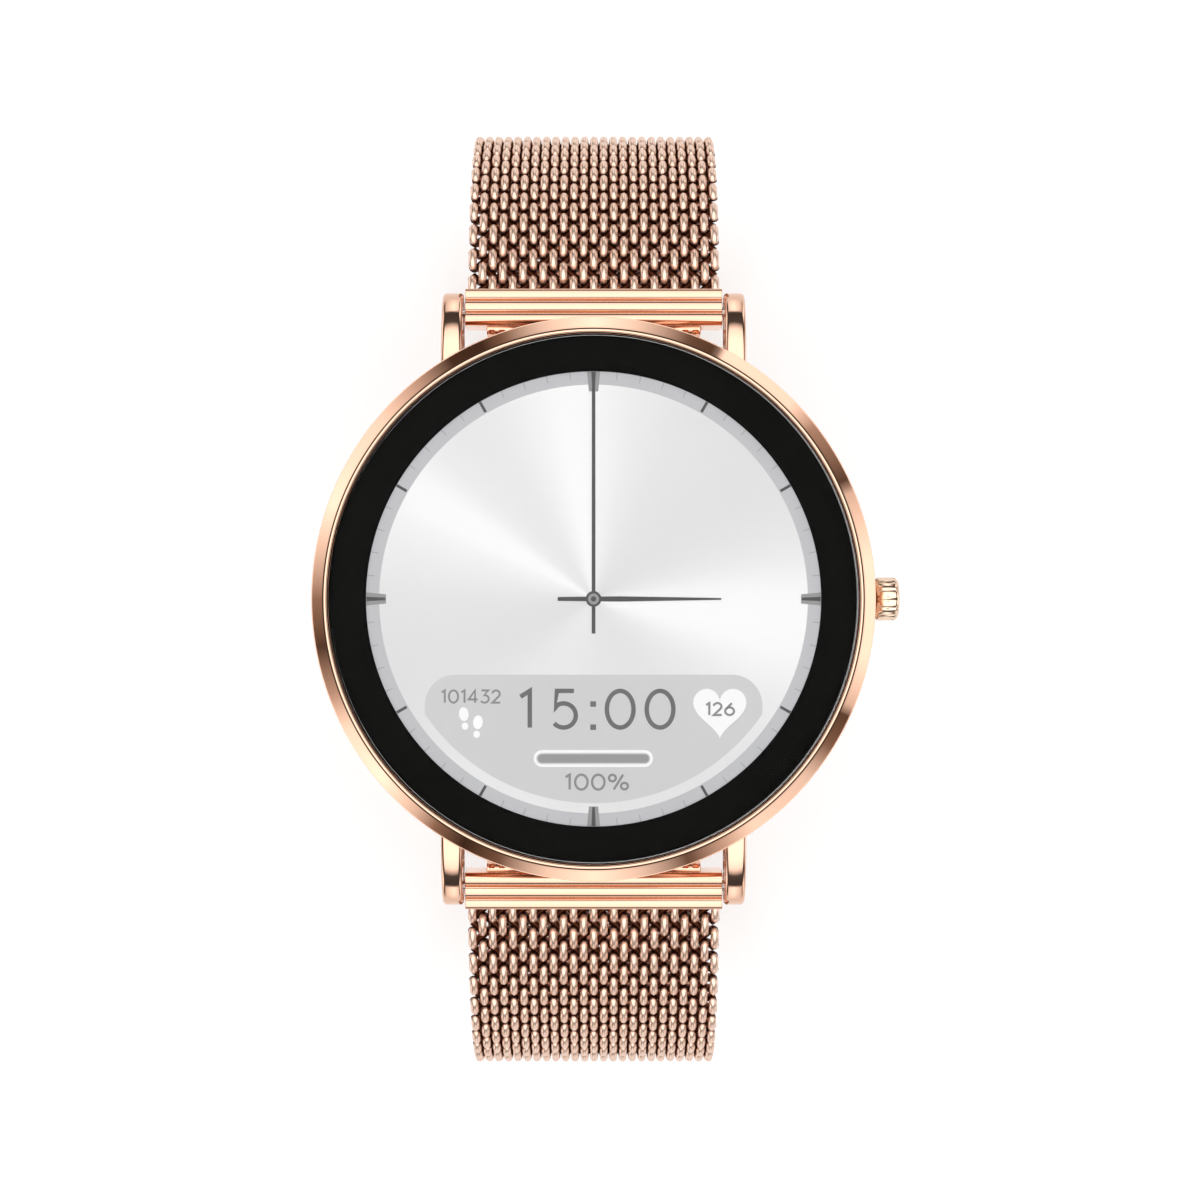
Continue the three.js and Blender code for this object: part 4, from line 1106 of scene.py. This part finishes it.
def sky_ramp(value, stops, scale, warm=0.0):
    """The light at each stop, from 0 to scale. Parts dimmer than 1 turn brown by warm."""
    colours = []
    for place, bright in stops:
        dim = warm * max(0.0, 1 - bright)
        level = bright / scale
        colours.append((place, (level, level * (1 - 0.35 * dim), level * (1 - 0.55 * dim), 1)))
    ramp = filled(node(sky, "ShaderNodeValToRGB", {0: value}), colours)
    return node(sky, "ShaderNodeVectorMath", {0: ramp, "Scale": scale}, operation="SCALE")


def at_height(degrees):
    """Where an elevation falls on a ramp that runs from straight down to straight up."""
    return 0.5 + 0.5 * math.sin(math.radians(degrees))


aim = node(sky, "ShaderNodeSeparateXYZ", {0: node(sky, "ShaderNodeTexCoord").outputs["Generated"]})
turned = node(sky, "ShaderNodeMath", {0: aim.outputs[0], 1: aim.outputs[1]}, operation="ARCTAN2")
share = node(sky, "ShaderNodeMath", {0: turned, 1: 0.5 / math.pi, 2: 0.5}, operation="MULTIPLY_ADD")
# clockwise from 6 o'clock in degrees, and brightness
flags = [(0, 1.6), (10, 1.1), (20, 0.2), (28, 0.05), (35, 0.3), (40, 0.9), (50, 1.8), (62, 1.4)]
flags += [(70, 0.6), (80, 0.1), (90, 0.35), (98, 0.9), (110, 1.7), (130, 1.3), (140, 0.7)]
flags += [(149, 0.08), (156, 0.06), (161, 0.25), (169, 1.0), (180, 1.7), (188, 1.2), (200, 0.18)]
flags += [(206.5, 0.1), (208, 1.5), (225, 1.4), (232, 0.5), (245.5, 0.1), (247, 0.85), (262, 1.6)]
flags += [(282, 1.6), (293, 0.85), (294.5, 0.12)]
ring_light = sky_ramp(share, [(d / 360, b) for d, b in flags], 2.0, 1.0)
corner = [(294.5, 0.12), (302, 0.25), (310, 1.0), (325, 1.3), (332, 0.7), (340, 0.15), (350, 1.0)]
corner += [(360, 1.6)]
corner_light = sky_ramp(share, [(d / 360, b) for d, b in corner], 2.0, 1.0)
# one ramp holds 32 stops, so the last stretch of the ring has its own
late = node(sky, "ShaderNodeMath", {0: share, 1: 294.5 / 360}, operation="GREATER_THAN")
ring_light = node(
    sky, "ShaderNodeMix", {0: late, 6: ring_light, 7: corner_light}, data_type="RGBA"
).outputs[2]
height = node(sky, "ShaderNodeMath", {0: aim.outputs[2], 1: 0.5, 2: 0.5}, operation="MULTIPLY_ADD")
low_stops = [(-90, 0.0), (-25, 0.0), (-8, 0.9), (0, 1.0), (12, 1.0), (16, 0.0), (90, 0.0)]
high_stops = [(-90, 1.0), (-25, 0.9), (-8, 0.0), (12, 0.0), (15, 0.05), (35, 0.08), (46, 1.5)]
high_stops += [(60, 1.85), (81.5, 1.85), (84.3, 0.03)]
low_part = sky_ramp(height, [(at_height(e), b) for e, b in low_stops], 1.0)
high_part = sky_ramp(height, [(at_height(e), b) for e, b in high_stops], 2.0)
parts = {0: ring_light, 1: low_part, 2: high_part}
total_light = node(sky, "ShaderNodeVectorMath", parts, operation="MULTIPLY_ADD")
seen = node(sky, "ShaderNodeLightPath").outputs["Is Camera Ray"]
plain = node(
    sky, "ShaderNodeMix", {0: seen, 6: total_light, 7: linear("#FFFFFF")}, data_type="RGBA"
).outputs[2]
light = node(sky, "ShaderNodeBackground", {"Color": plain, "Strength": 1.0})
node(sky, "ShaderNodeOutputWorld", {"Surface": light})

camera_data = bpy.data.cameras.new("camera")
camera = bpy.data.objects.new("camera", camera_data)
bpy.context.scene.collection.objects.link(camera)
bpy.context.scene.camera = camera
camera_data.sensor_width = 36
camera_data.lens = 89.2
camera_data.clip_start = 0.01
# straight above the glass
camera.location = (0.49 * MM, -0.08 * MM, 234.5 * MM)

# ---- finish -------------------------------------------------------------------------------------
bpy.context.view_layer.update()
